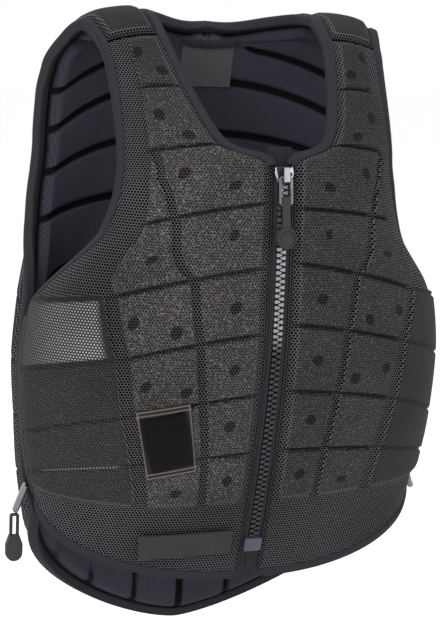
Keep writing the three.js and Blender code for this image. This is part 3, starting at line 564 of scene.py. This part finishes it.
class Build:
    # one material's node tree
    def __init__(self, name):
        self.material = bpy.data.materials.new(name)
        self.material.use_nodes = True
        self.tree = self.material.node_tree
        self.tree.nodes.clear()
        self.shader = self.tree.nodes.new("ShaderNodeBsdfPrincipled")
        out = self.tree.nodes.new("ShaderNodeOutputMaterial")
        self.tree.links.new(self.shader.outputs["BSDF"], out.inputs["Surface"])

    def node(self, kind, settings=None, inputs=None, output=0):
        made = self.tree.nodes.new(kind)
        for key, value in (settings or {}).items():
            setattr(made, key, value)
        for key, value in (inputs or {}).items():
            self.feed(made.inputs[key], value)
        return Wire(self, made.outputs[output])

    def feed(self, socket, value):
        if isinstance(value, Wire):
            self.tree.links.new(value.socket, socket)
        else:
            socket.default_value = value

    def value(self, number):
        return self.node("ShaderNodeMath", {"operation": "ADD"}, {0: float(number), 1: 0.0})

    def mix(self, factor, low, high):
        made = self.tree.nodes.new("ShaderNodeMix")
        made.data_type = "RGBA"
        for key, value in ((0, factor), (6, low), (7, high)):
            self.feed(made.inputs[key], value)
        return Wire(self, made.outputs[2])

    def attribute(self, name):
        return self.node("ShaderNodeAttribute", {"attribute_name": name}, output="Fac")

    def split(self, vector):
        return [self.node("ShaderNodeSeparateXYZ", {}, {0: vector}, output=k) for k in range(3)]

    def join(self, x, y, z=0.0):
        return self.node("ShaderNodeCombineXYZ", {}, {0: x, 1: y, 2: z})

    def cloth(self):
        # the piece's own cloth coordinates, in millimetres
        return self.split(self.node("ShaderNodeUVMap", {"uv_map": "cloth"}))[:2]

    def place(self):
        return self.node("ShaderNodeTexCoord", {}, output="Object")

    def noise(self, vector, scale, detail=2.0):
        return self.node("ShaderNodeTexNoise", {}, {"Vector": vector, "Scale": scale, "Detail": detail})

    def speckle(self, vector):
        kind, settings = "ShaderNodeTexWhiteNoise", {"noise_dimensions": "3D"}
        return self.node(kind, settings, {"Vector": vector}, output="Value")

    def bump(self, height, distance, strength):
        return self.node("ShaderNodeBump", {}, {"Strength": strength, "Distance": distance, "Height": height})

    def finish(self, **sockets):
        for key, value in sockets.items():
            self.feed(self.shader.inputs[key.replace("_", " ")], value)
        return self.material


def paint(*shown):
    # a colour given as a screen shows it, from 0 to 255
    shares = (c / 255 for c in shown)
    return tuple(c / 12.92 if c <= 0.04045 else ((c + 0.055) / 1.055) ** 2.4 for c in shares) + (1.0,)


meshCloth = {
    "pitch": 2.75, "grain": 0.52, "stitch": 2.8,  # millimetres between holes, specks and stitches
    "hole": 0.29, "openHole": 0.43, "litHole": 0.25, "spotLess": 0.05,  # a hole's radius in pitches
    "spotHole": 0.40, "spotYarn": 0.42,  # how near to a spot's middle holes go through and yarn darkens
    "glintShare": 0.91,  # of the specks, those that don't glint
    # yarn, brown and openYarn are the cloth's own colours; paintedSheen is the painted highlight behind the
    # sheen patch's holes, and glint is a painted highlight
    "yarn": paint(42, 41, 42), "brown": paint(79, 75, 73), "openYarn": paint(112, 111, 114),
    "foam": paint(20, 20, 22), "deep": paint(5, 5, 6), "paintedSheen": paint(178, 180, 186),
    "glint": paint(152, 151, 149), "thread": paint(118, 118, 121),
}


def staggered(x, y, pitch):
    # distance to the nearest of a staggered set of holes, in pitches
    tall = pitch * math.sqrt(3)
    reaches = []
    for shift in (0.0, 0.5):
        fx, fy = ((x / pitch + shift) % 1.0) - 0.5, (((y / tall + shift) % 1.0) - 0.5) * math.sqrt(3)
        reaches.append((fx * fx + fy * fy) ** 0.5)
    return reaches[0].least(reaches[1])


def meshMaterial():
    # knitted mesh: a shallow dimple at each hole over the foam, and open black holes over channels and edges;
    # painted shade in the creases, painted glints, and a painted sheen patch on the right flank
    m, b = meshCloth, Build("mesh")
    x, y = b.cloth()
    reach = staggered(x, y, m["pitch"])
    wave = b.noise(b.place(), 9.0)
    spot, paintedSheen, shine = b.attribute("spot"), b.attribute("paintedSheen"), b.attribute("shine")
    openness = 1.0 - b.attribute("open").ramp(0.35, 0.9)
    pierced = openness.most(spot > m["spotHole"])
    hole = 1.0 - reach.ramp(m["hole"] - 0.10, m["hole"] + 0.10)
    wide = m["openHole"] - (1.0 - openness) * m["spotLess"]
    wideHole = 1.0 - reach.ramp(wide - 0.02, wide + 0.06)
    # the painted sheen patch: smaller holes there, with a pale painted highlight put behind them below
    lit = paintedSheen > 0.02
    litHole = 1.0 - reach.ramp(m["litHole"] - 0.04, m["litHole"] + 0.07)
    holes = hole + pierced * (wideHole - hole)
    holes = holes + lit * (litHole - holes)
    fine = b.speckle(b.join((x / m["grain"]).down(), (y / m["grain"]).down(), 0.5))
    coarse = b.speckle(b.join((x / m["grain"] + 0.4).down(), (y / m["grain"] + 0.3).down(), 3.5))
    # the brown grain's strength follows the painted glints, so it is partly the cloth's own tone and partly a
    # painted sheen, lighter on the lit side
    yarn = b.mix(coarse * shine.most(0.25), m["yarn"], m["brown"])
    yarn = b.mix(openness, yarn, m["openYarn"])
    yarn = b.mix((spot > m["spotYarn"]) * 0.25, yarn, m["deep"])
    # painted glints: the brightest specks take the glint colour, a painted highlight
    glint = (fine - m["glintShare"]).most(0.0) * (1.0 / (1.0 - m["glintShare"])) * shine * (1.0 - pierced)
    # behind the holes: the dark foam, black where pierced, and the painted sheen's pale colour in the patch
    behind = b.mix(paintedSheen, b.mix(pierced, m["foam"], m["deep"]), m["paintedSheen"])
    colour = b.mix(glint, b.mix(holes, yarn, behind), m["glint"])
    # painted shade: the bottoms of the creases darkened towards deep
    colour = b.mix((1.0 - b.attribute("crease").ramp(0.0, 0.55)) * (0.6 - openness * 0.15), colour, m["deep"])
    dash = ((x / m["stitch"]) % 1.0) < 0.55
    colour = b.mix(b.attribute("stitch") * dash * 0.8, colour, m["thread"])
    colour = b.mix((0.62 - wave).most(0.0) * 0.9, colour, m["deep"])
    strand = (x * 2.4 + y * 1.4).sine() * 0.12
    height = (1.0 - holes) * (0.25 + openness * 0.75) + strand + fine * 0.25
    return b.finish(Base_Color=colour, Roughness=0.66 + holes * 0.25, Normal=b.bump(height, 0.0006, 0.8),
                    Specular_IOR_Level=0.08)


def liningMaterial():
    b = Build("lining")
    x, y = b.cloth()
    rib = (x * 2.9).sine() * 0.5 + 0.5
    groove = b.attribute("lining")
    fuzz = b.noise(b.place(), 900.0, 3.0)
    base = b.mix(rib * 0.6 + fuzz * 0.4, paint(41, 41, 49), paint(56, 56, 65))
    # painted shade: the lining's grooves darkened almost to black
    colour = b.mix(1.0 - groove.ramp(0.05, 0.7), base, paint(8, 8, 9))
    return b.finish(Base_Color=colour, Roughness=0.9, Normal=b.bump(rib + fuzz * 0.3, 0.0002, 0.5),
                    Specular_IOR_Level=0.1)


def tapeMaterial(name, light, dark, pitch, stitched=()):
    # woven tape: ribs across its length, and a row of stitches at each distance listed
    b = Build(name)
    x, y = b.cloth()
    rib = (x * (2 * math.pi / pitch)).sine() * 0.5 + 0.5
    cross = (y * (2 * math.pi / 0.8)).sine() * 0.5 + 0.5
    fuzz = b.noise(b.place(), 700.0, 3.0)
    weave = rib * 0.5 + cross * 0.3 + fuzz * 0.35
    colour = b.mix(weave, dark, light)
    height = weave
    for at in stitched:
        dash = (((x / 3.2) % 1.0) < 0.72)
        line = dash * (1.0 - (y - at).size().ramp(0.22, 0.5))
        colour = b.mix(line * 0.75, colour, paint(24, 24, 26))
        height = height - line * 1.2
    return b.finish(Base_Color=colour, Roughness=0.78, Normal=b.bump(height, 0.0003, 0.6),
                    Specular_IOR_Level=0.12)


def teethMaterial():
    # metal painted brighter at the chest and darker further down: a painted reflection of the light from
    # above that the upper teeth catch
    b = Build("teeth")
    z = b.split(b.place())[2]
    fine = b.noise(b.place(), 400.0, 3.0)
    # painted reflection: light above z -0.246, dark below -0.270
    colour = b.mix(z.ramp(-0.270, -0.246), paint(64, 64, 67), paint(150, 150, 152))
    return b.finish(Base_Color=colour, Metallic=1.0, Roughness=0.3 + fine * 0.15)


def hardMaterial(name, colour, metallic, roughness, grain, grainScale=400.0, gloss=0.5):
    # metal, rubber or plastic: a slightly clouded colour and roughness over a fine grain
    b = Build(name)
    cloud = b.noise(b.place(), 60.0, 4.0)
    fine = b.noise(b.place(), grainScale, 3.0)
    lighter = tuple(min(1.0, c * 1.5) for c in colour[:3]) + (1.0,)
    return b.finish(Base_Color=b.mix(cloud.ramp(0.35, 0.75) * 0.25, colour, lighter), Metallic=metallic,
                    Roughness=roughness + (fine - 0.5) * 0.2 + (cloud - 0.5) * 0.12,
                    Normal=b.bump(fine, 0.0002, grain), Specular_IOR_Level=gloss)


def frameMaterial(w, h):
    # thin ridges in a lighter brown along the border, and across near the top and the bottom
    b = Build("frame")
    x, y = b.cloth()
    edge = x.least(w - x).least(y).least(h - y)
    band = y.least(h - y)
    ridge = (1.0 - (edge - 1.3).size().ramp(0.35, 0.95)).most(1.0 - (band - 4.8).size().ramp(0.35, 0.95))
    fine = b.noise(b.place(), 500.0, 3.0)
    return b.finish(Base_Color=b.mix(ridge * (0.7 + fine * 0.3), paint(30, 28, 29), paint(104, 93, 91)),
                    Roughness=0.6, Specular_IOR_Level=0.15, Normal=b.bump(fine, 0.0002, 0.3))


looks = {
    "mesh": meshMaterial(),
    "lining": liningMaterial(),
    "binding": tapeMaterial("binding", paint(47, 47, 52), paint(26, 26, 30), 1.1, (6.6,)),
    "tape": tapeMaterial("tape", paint(48, 49, 52), paint(30, 31, 34), 0.9),
    "innerTape": tapeMaterial("innerTape", paint(38, 37, 40), paint(24, 24, 27), 0.9),
    "gunmetal": hardMaterial("gunmetal", paint(118, 118, 122), 1.0, 0.32, 0.15),
    "silver": hardMaterial("silver", paint(190, 191, 196), 1.0, 0.24, 0.1),
    "teeth": teethMaterial(),
    "darkMetal": hardMaterial("darkMetal", paint(58, 58, 60), 1.0, 0.4, 0.2),
    "rubber": hardMaterial("rubber", paint(46, 46, 47), 0.0, 0.55, 0.4, gloss=0.2),
    "retainer": hardMaterial("retainer", paint(60, 62, 74), 0.2, 0.4, 0.2),
    "gloss": hardMaterial("gloss", paint(7, 7, 8), 0.0, 0.30, 0.1, gloss=0.07),
    "badge": hardMaterial("badge", paint(43, 43, 45), 0.0, 0.6, 0.5, 700.0, gloss=0.15),
    "label": tapeMaterial("label", paint(80, 80, 82), paint(68, 68, 70), 0.7),
}
print("materials ready")

# The panels
frontShells = {"right": shell(frontRows, -1, -vest["sideGap"]), "left": shell(frontRows, 1, -vest["sideGap"])}
backShells = {"right": shell(backRows, -1, vest["sideGap"]), "left": shell(backRows, 1, vest["sideGap"])}


def makePanel(name, part, node):
    piece = makePiece(name, part, (looks["mesh"], looks["lining"]))
    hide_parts(node)
    return piece


for side, s in frontShells.items():
    makePanel("frontPanel" + side.capitalize(), halfPanel(s, frontCut), "front_panel_" + side)
backHalves = joinParts([halfPanel(s, backCut) for s in backShells.values()])
mergePoints(makePanel("backPanel", backHalves, "back_panel"), 2e-6)
print("panels made")


def padPart(side):
    # the pad's rows run up the front shell and on down the back one
    p, v = padding, vest
    up, down = crowded(rowAt["frontTop"] + padGap, rowAt["seam"]), crowded(0, rowAt["backTop"] - padGap)[1:]
    grids = []
    for s, lines in ((frontShells[side], up), (backShells[side], down)):
        B, T = np.meshgrid(crowded(0, 3), lines)
        A = blockAngles(s, B, T)
        grids.append((point(s, A, T), outward(s, A, T)))
    base, out = (np.concatenate(halves) for halves in zip(*grids))
    u, w = runAlong(base, 1), runAlong(base, 0)
    edge = np.minimum.reduce((u, u[:, -1:] - u, w, w[-1:, :] - w))
    rim, swell = soft(edge, p["padEdgeStart"], p["edgeSlope"]), soft(edge, 0, p["pillow"])
    outer = base + out * (v["rise"] * rim + v["bulge"] * swell)[..., None]
    inner = base - out * (v["edgeWall"] + (v["foam"] - v["edgeWall"] + p["liningRise"]) * rim)[..., None]
    s, nothing = frontShells[side], np.zeros_like(u)
    uv = np.stack(((u + np.abs(base[:, :1, 0])) * s["side"], w[:, :1] + nothing), -1) * 1000
    # the pads get no painted sheen patch and only faint painted glints
    values = {"open": rim, "crease": rim, "spot": nothing, "paintedSheen": nothing,
              "shine": nothing + glints["pads"], "stitch": nothing, "lining": rim}
    return slabPart(outer, inner, uv, values, s["turned"])


for side in frontShells:
    makePanel("shoulderPad" + side.capitalize(), padPart(side), "shoulder_pad_" + side)


def sweep(places, wide, out, section):
    # a closed section, given as steps along wide and out, carried along the places; its ends shrink almost
    # to a point, and quads folded across their middles close them
    w, h = section.T
    points = places[:, None] + wide[:, None] * w[:, None] + out[:, None] * h[:, None]
    ends = [ring.mean(0) + (ring - ring.mean(0)) * 1e-3 for ring in (points[0], points[-1])]
    points = np.concatenate((ends[:1], points, ends[1:]))
    rows, columns = points.shape[:2]
    run = runAlong(places, 0)
    x, y = np.broadcast_arrays(np.concatenate((run[:1], run, run[-1:]))[:, None], w - w.min())
    half = np.arange(columns // 2 - 1)
    cap = np.stack((half, half + 1, columns - half - 2, columns - half - 1), -1)
    faces = np.concatenate((gridFaces(rows, columns, closed=True), cap[:, ::-1], cap + (rows - 1) * columns))
    return {"points": points, "faces": faces, "uv": np.stack((x, y), -1).reshape(-1, 2) * 1000}


def roundSection(across, outwards, power, count):
    # a rounded oblong: a superellipse between two distances across and two outwards
    a = np.linspace(0, 2 * np.pi, count, endpoint=False)
    curve = lambda c: np.sign(c) * np.abs(c) ** (2 / power)
    (w0, w1), (h0, h1) = across, outwards
    return np.stack(((w0 + w1) / 2 + (w1 - w0) / 2 * curve(np.cos(a)),
                     (h0 + h1) / 2 + (h1 - h0) / 2 * curve(np.sin(a))), -1)


def makeSweep(name, line, section, look, node=None):
    piece = makePiece(name, sweep(*line, section), (looks[look],), sharp=0)
    mergePoints(piece, 1e-7, outwards=True)
    if node:
        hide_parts(node)


def edgeLine(stops, turn):
    # a panel's edge from stretches of (shell, angles, rows): places, the way out past the edge, the normals
    places = np.concatenate([point(s, a, t) for s, a, t in stops])
    out = np.concatenate([outward(s, a, t) for s, a, t in stops])
    keep = np.concatenate(([True], np.linalg.norm(np.diff(places, axis=0), axis=1) > 2e-4))
    places, out = places[keep], out[keep]
    steps = np.diff(places, axis=0)
    steps = unit(np.concatenate((steps[:1], steps, steps[-1:])))
    tangent = unit(steps[:-1] + steps[1:])
    wide = unit(np.cross(tangent, out)) * turn
    miter = 1 / np.maximum(np.sum(tangent * steps[1:], axis=1), 0.6)
    return places, wide * miter[:, None], out


binding = {"across": (-0.0012, 0.0080), "outwards": (-0.0086, 0.0016), "power": 4.0, "sides": 28,
           "perRow": 22, "short": 0.02, "perHem": 90}
bindingSection = roundSection(*(binding[k] for k in ("across", "outwards", "power", "sides")))


def rowsOf(start, end):
    return np.linspace(start, end, max(2, int(round(abs(end - start) * binding["perRow"])) + 1))


def bind(name, node, stops, turn):
    makeSweep(name, edgeLine(stops, turn), bindingSection, "binding", node)


seamEnd = rowAt["seam"] - binding["short"]
upward, neckRows = rowsOf(0, seamEnd), rowsOf(rowAt["neck"], seamEnd)
for side, s in frontShells.items():
    hem = np.linspace(0.5, 90, binding["perHem"])
    name = "Binding" + side.capitalize()
    bind("front" + name, "front_binding_" + side, [(s, hem, 0), (s, 90, upward)], s["side"])
    bind("neck" + name, "neck_binding_" + side, [(s, 0, neckRows)], -s["side"])

right, left = backShells["right"], backShells["left"]
downward, hem = rowsOf(binding["short"], rowAt["hem"]), np.linspace(90, 0, binding["perHem"])
around = [(right, 90, downward), (right, hem, rowAt["hem"]),
          (left, hem[::-1], rowAt["hem"]), (left, 90, downward[::-1])]
bind("backBinding", "back_binding", around, -1)
napeRows = rowsOf(binding["short"], rowAt["nape"])
bind("backNeckBinding", "back_neck_binding", [(right, 0, napeRows), (left, 0, napeRows[::-1])], 1)
print("bindings made")

# The front zip, in metres; a section is its reach across and outwards, how square it is, and its points
frontZip = {
    "top": -0.193 * vest["drop"], "bottom": -0.759 * vest["drop"], "tapeTop": -0.188 * vest["drop"],
    "tape": ((0.0044, 0.0124), (-0.0026, -0.0009), 5, 20),
    "edge": ((0.0040, 0.0062), (-0.0024, 0.0002), 2, 12),
    "flap": ((0.0084, 0.0134), (-0.0012, 0.0004), 3, 20),
    "guard": ((-0.0105, 0.0105), (-0.0010, 0.0008), 5, 24),
    "guardRun": (-0.004, 0.017), "guardBack": 0.004, "guardAim": 0.002,
    "pitch": 0.0050, "stagger": 0.25, "topGap": 0.003, "rings": 6, "sides": 10, "round": (0.35, 0.5),
    "tooth": {"in": -0.0011, "out": 0.0046, "low": -0.0016, "high": 0.0017, "along": 0.0042, "tip": 0.0022},
}


def rowAtHeight(z):
    rows = np.linspace(0, rowAt["seam"], 4001)
    return float(np.interp(z, along(frontRows, "inZ", rows) * vest["drop"], rows))


def zipLine(low, high, count):
    # the middle plane's places on the shell, the way across and the way out
    t, s = np.linspace(low, high, count), frontShells["left"]
    places, out = point(s, 0, t), outward(s, 0, t)
    places[:, 0] = out[:, 0] = 0
    return places, np.tile((1.0, 0.0, 0.0), (count, 1)), unit(out)


def evenly(line, spacing):
    # the same line at even steps of its own length
    run = runAlong(line[0], 0)
    at = np.arange(spacing / 2, run[-1], spacing)
    return [np.stack([np.interp(at, run, x[:, k]) for k in range(3)], -1) for x in line]


def toothPoints(side):
    # a rounded block in two angles, a superquadric, narrower towards the tip that passes the zip's middle
    tooth, (squareUp, square) = frontZip["tooth"], frontZip["round"]
    b = np.linspace(-np.pi / 2, np.pi / 2, frontZip["rings"])
    a = np.linspace(0, 2 * np.pi, frontZip["sides"], endpoint=False)
    B, A = np.meshgrid(b, a, indexing="ij")
    power = lambda x, e: np.sign(x) * np.abs(x) ** e
    between = lambda low, high, x: (low + high) / 2 + (high - low) / 2 * x
    x = power(np.cos(B), squareUp) * power(np.cos(A), square)
    y = power(np.cos(B), squareUp) * power(np.sin(A), square)
    taper = tooth["tip"] + (tooth["along"] - tooth["tip"]) * soft(x, -0.6, 0.7)
    return np.stack((side * between(tooth["in"], tooth["out"], x), y * taper / 2,
                     between(tooth["low"], tooth["high"], power(np.sin(B), square))), -1).reshape(-1, 3)


for name, side in (("Right", -1), ("Left", 1)):
    line = zipLine(0.02, rowAtHeight(frontZip["tapeTop"]), 220)
    for kind, look in (("tape", "tape"), ("edge", "tape"), ("flap", "mesh")):
        section = roundSection(*frontZip[kind]) * [side, 1]
        node = "zip_tape_" + name.lower() if kind == "tape" else None
        makeSweep("zip" + kind.capitalize() + name, line, section, look, node)

    # Teeth: those of one side stand between those of the other
    line = zipLine(rowAtHeight(frontZip["bottom"]), rowAtHeight(frontZip["top"] - frontZip["topGap"]), 400)
    up = -np.cross(line[1], line[2])
    places, wide, out, up = evenly((*line, up), frontZip["pitch"])
    places = places + up * (frontZip["stagger"] * side * frontZip["pitch"])
    one = toothPoints(side)
    teeth = places[:, None] + sum(one[:, k, None] * way[:, None] for k, way in enumerate((wide, up, out)))
    starts = np.arange(len(places))[:, None, None] * len(one)
    faces = (gridFaces(frontZip["rings"], frontZip["sides"], closed=True) + starts).reshape(-1, 4)
    part = {"points": teeth, "faces": faces, "uv": np.zeros((teeth.size // 3, 2))}
    piece = makePiece("zipTeeth" + name, part, (looks["teeth"],), sharp=40)
    mergePoints(piece, 1e-6, outwards=True)
    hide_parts("zip_teeth_" + name.lower())


def roundedCopy(name, node, look, width, segments=3, body="vest"):
    # the node's own solid with its edges rounded
    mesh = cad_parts[node].data.copy()
    mesh.name = name
    mesh.materials.clear()
    mesh.materials.append(looks[look])
    piece = bpy.data.objects.new(name, mesh)
    bpy.context.collection.objects.link(piece)
    mergePoints(piece, 1e-5)
    bevel = piece.modifiers.new("edges", "BEVEL")
    bevel.width, bevel.segments, bevel.harden_normals = width, segments, True
    bevel.limit_method, bevel.angle_limit = "ANGLE", math.radians(25)
    for polygon in mesh.polygons:
        polygon.use_smooth = True
    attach(piece, body)
    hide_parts(node)
    return piece


sliderSteel = {"side": 0.0052, "front": -0.1222}  # the slider is bright beyond these
slider = roundedCopy("zipSlider", "zip_slider", "darkMetal", 0.0005)
slider.data.materials.append(looks["silver"])
for polygon in slider.data.polygons:
    x, y = polygon.center[:2]
    polygon.material_index = int(abs(x) > sliderSteel["side"] or y < sliderSteel["front"])
roundedCopy("pullLink", "zip_pull_link", "gunmetal", 0.0006, body="zip_pull")
roundedCopy("pullTab", "zip_pull_tab", "rubber", 0.0008, 4, body="zip_pull")
roundedCopy("zipRetainer", "zip_retainer", "retainer", 0.0005)
roundedCopy("zipTail", "zip_tail", "innerTape", 0.0005)
sideTape = {"section": ((-0.0088, 0.0088), (-0.0034, -0.0024), 6, 24), "rows": (0.04, 3.8, 60)}
for side in ("right", "left"):
    name = side.capitalize()
    roundedCopy("sideZip" + name, "side_zip_" + side, "innerTape", 0.0006)
    roundedCopy("sideSlider" + name, "side_slider_" + side, "gunmetal", 0.0008)
    roundedCopy("sidePull" + name, "side_pull_" + side, "rubber", 0.0008)
    # the zip's tapes run on under the bindings on both sides
    middle, upward = shell(frontRows, frontShells[side]["side"], 0.0), np.linspace(*sideTape["rows"])
    wide = np.tile((0.0, 1.0, 0.0), (len(upward), 1))
    line = (point(middle, 90, upward), wide, outward(middle, 90, upward))
    makeSweep("sideTape" + name, line, roundSection(*sideTape["section"]), "tape")

# The tab's raised rim: a ring of small radius around its round end
tabRim = {"middle": (0.0, -0.13305, -0.16733), "radius": 0.0079, "thick": 0.0007, "around": 49, "sides": 10}
a = np.linspace(0, 2 * np.pi, tabRim["around"])
spokes = np.stack((np.cos(a), np.zeros_like(a), np.sin(a)), -1)
b = np.linspace(0, 2 * np.pi, tabRim["sides"], endpoint=False)
ring = spokes[:, None, :] * (tabRim["radius"] + tabRim["thick"] * np.cos(b))[None, :, None]
ring = ring + np.array(tabRim["middle"]) - np.array((0.0, tabRim["thick"], 0.0)) * np.sin(b)[None, :, None]
part = {"points": ring, "faces": gridFaces(*ring.shape[:2], closed=True), "uv": np.zeros((ring.size // 3, 2))}
rim = makePiece("tabRim", part, (looks["rubber"],), body="zip_pull", sharp=0)
mergePoints(rim, 1e-6, outwards=True)

# Behind the top of the zip the two tapes stand up as one dark guard
lower, upper = (rowAtHeight(frontZip["tapeTop"] - drop) for drop in (frontZip["guardAim"], 0))
places, wide, out = zipLine(lower, upper, 2)
run = np.linspace(*frontZip["guardRun"], 8)[:, None]
standing = places[1] + unit(places[1] - places[0]) * run + np.array((0.0, frontZip["guardBack"], 0.0))
makeSweep("zipGuard", (standing, np.tile(wide[1], (8, 1)), np.tile(out[1], (8, 1))),
          roundSection(*frontZip["guard"]), "innerTape")
print("zips made")


def sewnPiece(name, node, corners, seat, low, high, look, grid, mirror=False):
    # a thin slab over four corners given as x and z, its top at a height worked out from its two measures
    s, angle, t = seat
    a, b = (x[..., None] for x in np.meshgrid(np.linspace(0, 1, grid[0]), np.linspace(0, 1, grid[1])))
    c = np.array(corners)
    place = (c[0] * (1 - a) + c[1] * a) * (1 - b) + (c[2] * (1 - a) + c[3] * a) * b
    x, z = place[..., 0], place[..., 1]
    flip = np.where(x < 0, -1.0, 1.0) if mirror else 1.0
    angle, t = locate(s, x * flip, z, angle, t)
    w, h = np.linalg.norm(c[1] - c[0]), np.linalg.norm(c[2] - c[0])
    x, y = a[..., 0] * w, b[..., 0] * h
    top, under = offset(s, angle, t, high(x, y, w, h)), offset(s, angle, t, np.full_like(x, low))
    for face in (top, under):
        face[..., 0] *= flip
    part = slabPart(top, under, np.stack((x, y), -1) * 1000, lined=False)
    piece = makePiece(name, part, (looks[look],), sharp=50)
    mergePoints(piece, 1e-7, outwards=True)
    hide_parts(node)


patches = {
    "holder": [(-0.568, -0.548), (-0.354, -0.533), (-0.500, -0.655), (-0.301, -0.640)],
    "badge": [(-0.505, -0.748), (-0.107, -0.741), (-0.490, -0.788), (-0.107, -0.778)],
}
inMetres = lambda corners: [(x * vest["halfWidth"], z * vest["drop"]) for x, z in corners]
edgeOf = lambda x, y, w, h: np.minimum.reduce((x, w - x, y, h - y))


def frameHeight(x, y, w, h):
    # ridges along the border, and a second pair near the top and bottom
    ridge = lambda d, at: np.exp(-(((d - at) / 0.0007) ** 2))
    border = np.maximum(ridge(edgeOf(x, y, w, h), 0.0013), np.maximum(ridge(y, 0.0048), ridge(h - y, 0.0048)))
    return 0.0052 + 0.0012 * border


def panelHeight(x, y, w, h):
    return 0.0060 + 0.0008 * soft(edgeOf(x, y, w, h), 0, 0.0015) + 0.0022 * np.sin(np.pi * y / h) ** 0.6


def badgeHeight(x, y, w, h):
    edge = edgeOf(x, y, w, h)
    return 0.0058 + 0.0008 * soft(edge, 0, 0.0008) - 0.0006 * soft(edge, 0.0022, 0.0028)


hemSeat = (frontShells["right"], 20, 0.7)  # where the search for a corner's place starts: shell, degrees, row
holder, badge = inMetres(patches["holder"]), inMetres(patches["badge"])
looks["frame"] = frameMaterial(*(1000 * math.dist(holder[0], holder[k]) for k in (1, 2)))
sewnPiece("strapHolderFrame", "strap_holder_frame", holder, hemSeat, 0.0040, frameHeight, "frame", (70, 110))
middle, border = np.mean(holder, axis=0), (0.0040, 0.0072)
inset = [np.array(c) - np.sign(np.array(c) - middle) * border for c in holder]
sewnPiece("strapHolderPanel", "strap_holder_panel", inset, hemSeat, 0.0050, panelHeight, "gloss", (40, 40))
sewnPiece("hemBadge", "hem_badge", badge, hemSeat, 0.0040, badgeHeight, "badge", (110, 40))

# The label inside the nape and the loop over it; depths are counted inwards from the shell
label = {"half": 0.027, "top": -0.0062, "height": 0.042, "under": -0.0196, "depth": -0.0208}
loop = {"half": 0.029, "drop": 0.001, "rise": 0.006, "depth": -0.0226, "places": 41,
        "section": ((-0.002, 0.002), (-0.0006, 0.0008), 2.5, 14)}
napeSeat = (backShells["left"], 5, 3.3)
ends = (label["top"], label["top"] - label["height"])
corners = [(x, z) for z in ends for x in (-label["half"], label["half"])]
flat = lambda x, y, w, h: np.full_like(x, label["depth"])
sewnPiece("neckLabel", "neck_label", corners, napeSeat, label["under"], flat, "label", (41, 30), mirror=True)
a = np.linspace(-1, 1, loop["places"])
x, z = a * loop["half"], label["top"] - loop["drop"] + loop["rise"] * a * a
angle, t = locate(napeSeat[0], np.abs(x), z, *napeSeat[1:])
places = offset(napeSeat[0], angle, t, np.full_like(angle, loop["depth"]))
places[:, 0] *= np.where(x < 0, -1, 1)
wide, out = (np.tile(way, (len(places), 1)) for way in ((0.0, 0.0, 1.0), (0.0, 1.0, 0.0)))
section = roundSection(*loop["section"])
makeSweep("hangingLoop", (places, wide, out), section, "innerTape", "hanging_loop")
print("patches and label made")

# Floor, light and camera
view = {"azimuth": -20.7, "elevation": 9.7, "roll": 2.2, "distance": 1.670, "target": (0.0, 0.030, -0.257),
        "aside": 0.0034, "lift": 0.0005, "lens": 104.1}
bpy.context.scene.view_settings.view_transform = "Standard"
floorHalf, floorHeight = 12.0, -0.66
floor = bpy.data.meshes.new("floor")
corners = [(x * floorHalf, y * floorHalf, floorHeight) for x, y in ((-1, -1), (1, -1), (1, 1), (-1, 1))]
floor.from_pydata(corners, [], [(0, 1, 2, 3)])
floor.materials.append(Build("floor").finish(Base_Color=paint(254, 254, 254), Roughness=0.9))
floorPiece = bpy.data.objects.new("floor", floor)
bpy.context.collection.objects.link(floorPiece)


def areaLight(name, place, aim, size, power):
    lamp = bpy.data.lights.new(name, "AREA")
    lamp.shape, lamp.size, lamp.energy = "DISK", size, power
    made = bpy.data.objects.new(name, lamp)
    bpy.context.collection.objects.link(made)
    made.location = place
    made.rotation_euler = (Vector(aim) - Vector(place)).to_track_quat("-Z", "Y").to_euler()


centre = (0, 0, -0.28)
areaLight("key", (-1.9, -1.6, 1.0), centre, 0.9, 30)
areaLight("fill", (1.9, -1.6, 0.3), centre, 1.4, 8)
areaLight("top", (0.1, 0.4, 1.9), centre, 1.2, 14)
areaLight("back", (-0.9, 1.9, 0.7), centre, 1.0, 8)
world = bpy.data.worlds.new("studio")
world.use_nodes = True
world.node_tree.nodes["Background"].inputs["Color"].default_value = (1, 1, 1, 1)
world.node_tree.nodes["Background"].inputs["Strength"].default_value = 1.0
bpy.context.scene.world = world

az, el, roll = (math.radians(view[k]) for k in ("azimuth", "elevation", "roll"))
back = Vector((math.sin(az) * math.cos(el), -math.cos(az) * math.cos(el), math.sin(el)))
level = Vector((0, 0, 1)).cross(back).normalized()
above = back.cross(level)
rightward = math.cos(roll) * level + math.sin(roll) * above
upward = math.cos(roll) * above - math.sin(roll) * level
camera = bpy.data.objects.new("camera", bpy.data.cameras.new("camera"))
bpy.context.collection.objects.link(camera)
camera.data.lens = view["lens"]
aim = Vector(view["target"]) + rightward * view["aside"] + upward * view["lift"]
turned = Matrix((rightward, upward, back)).transposed().to_4x4()
camera.matrix_world = Matrix.Translation(aim + back * view["distance"]) @ turned
bpy.context.scene.camera = camera
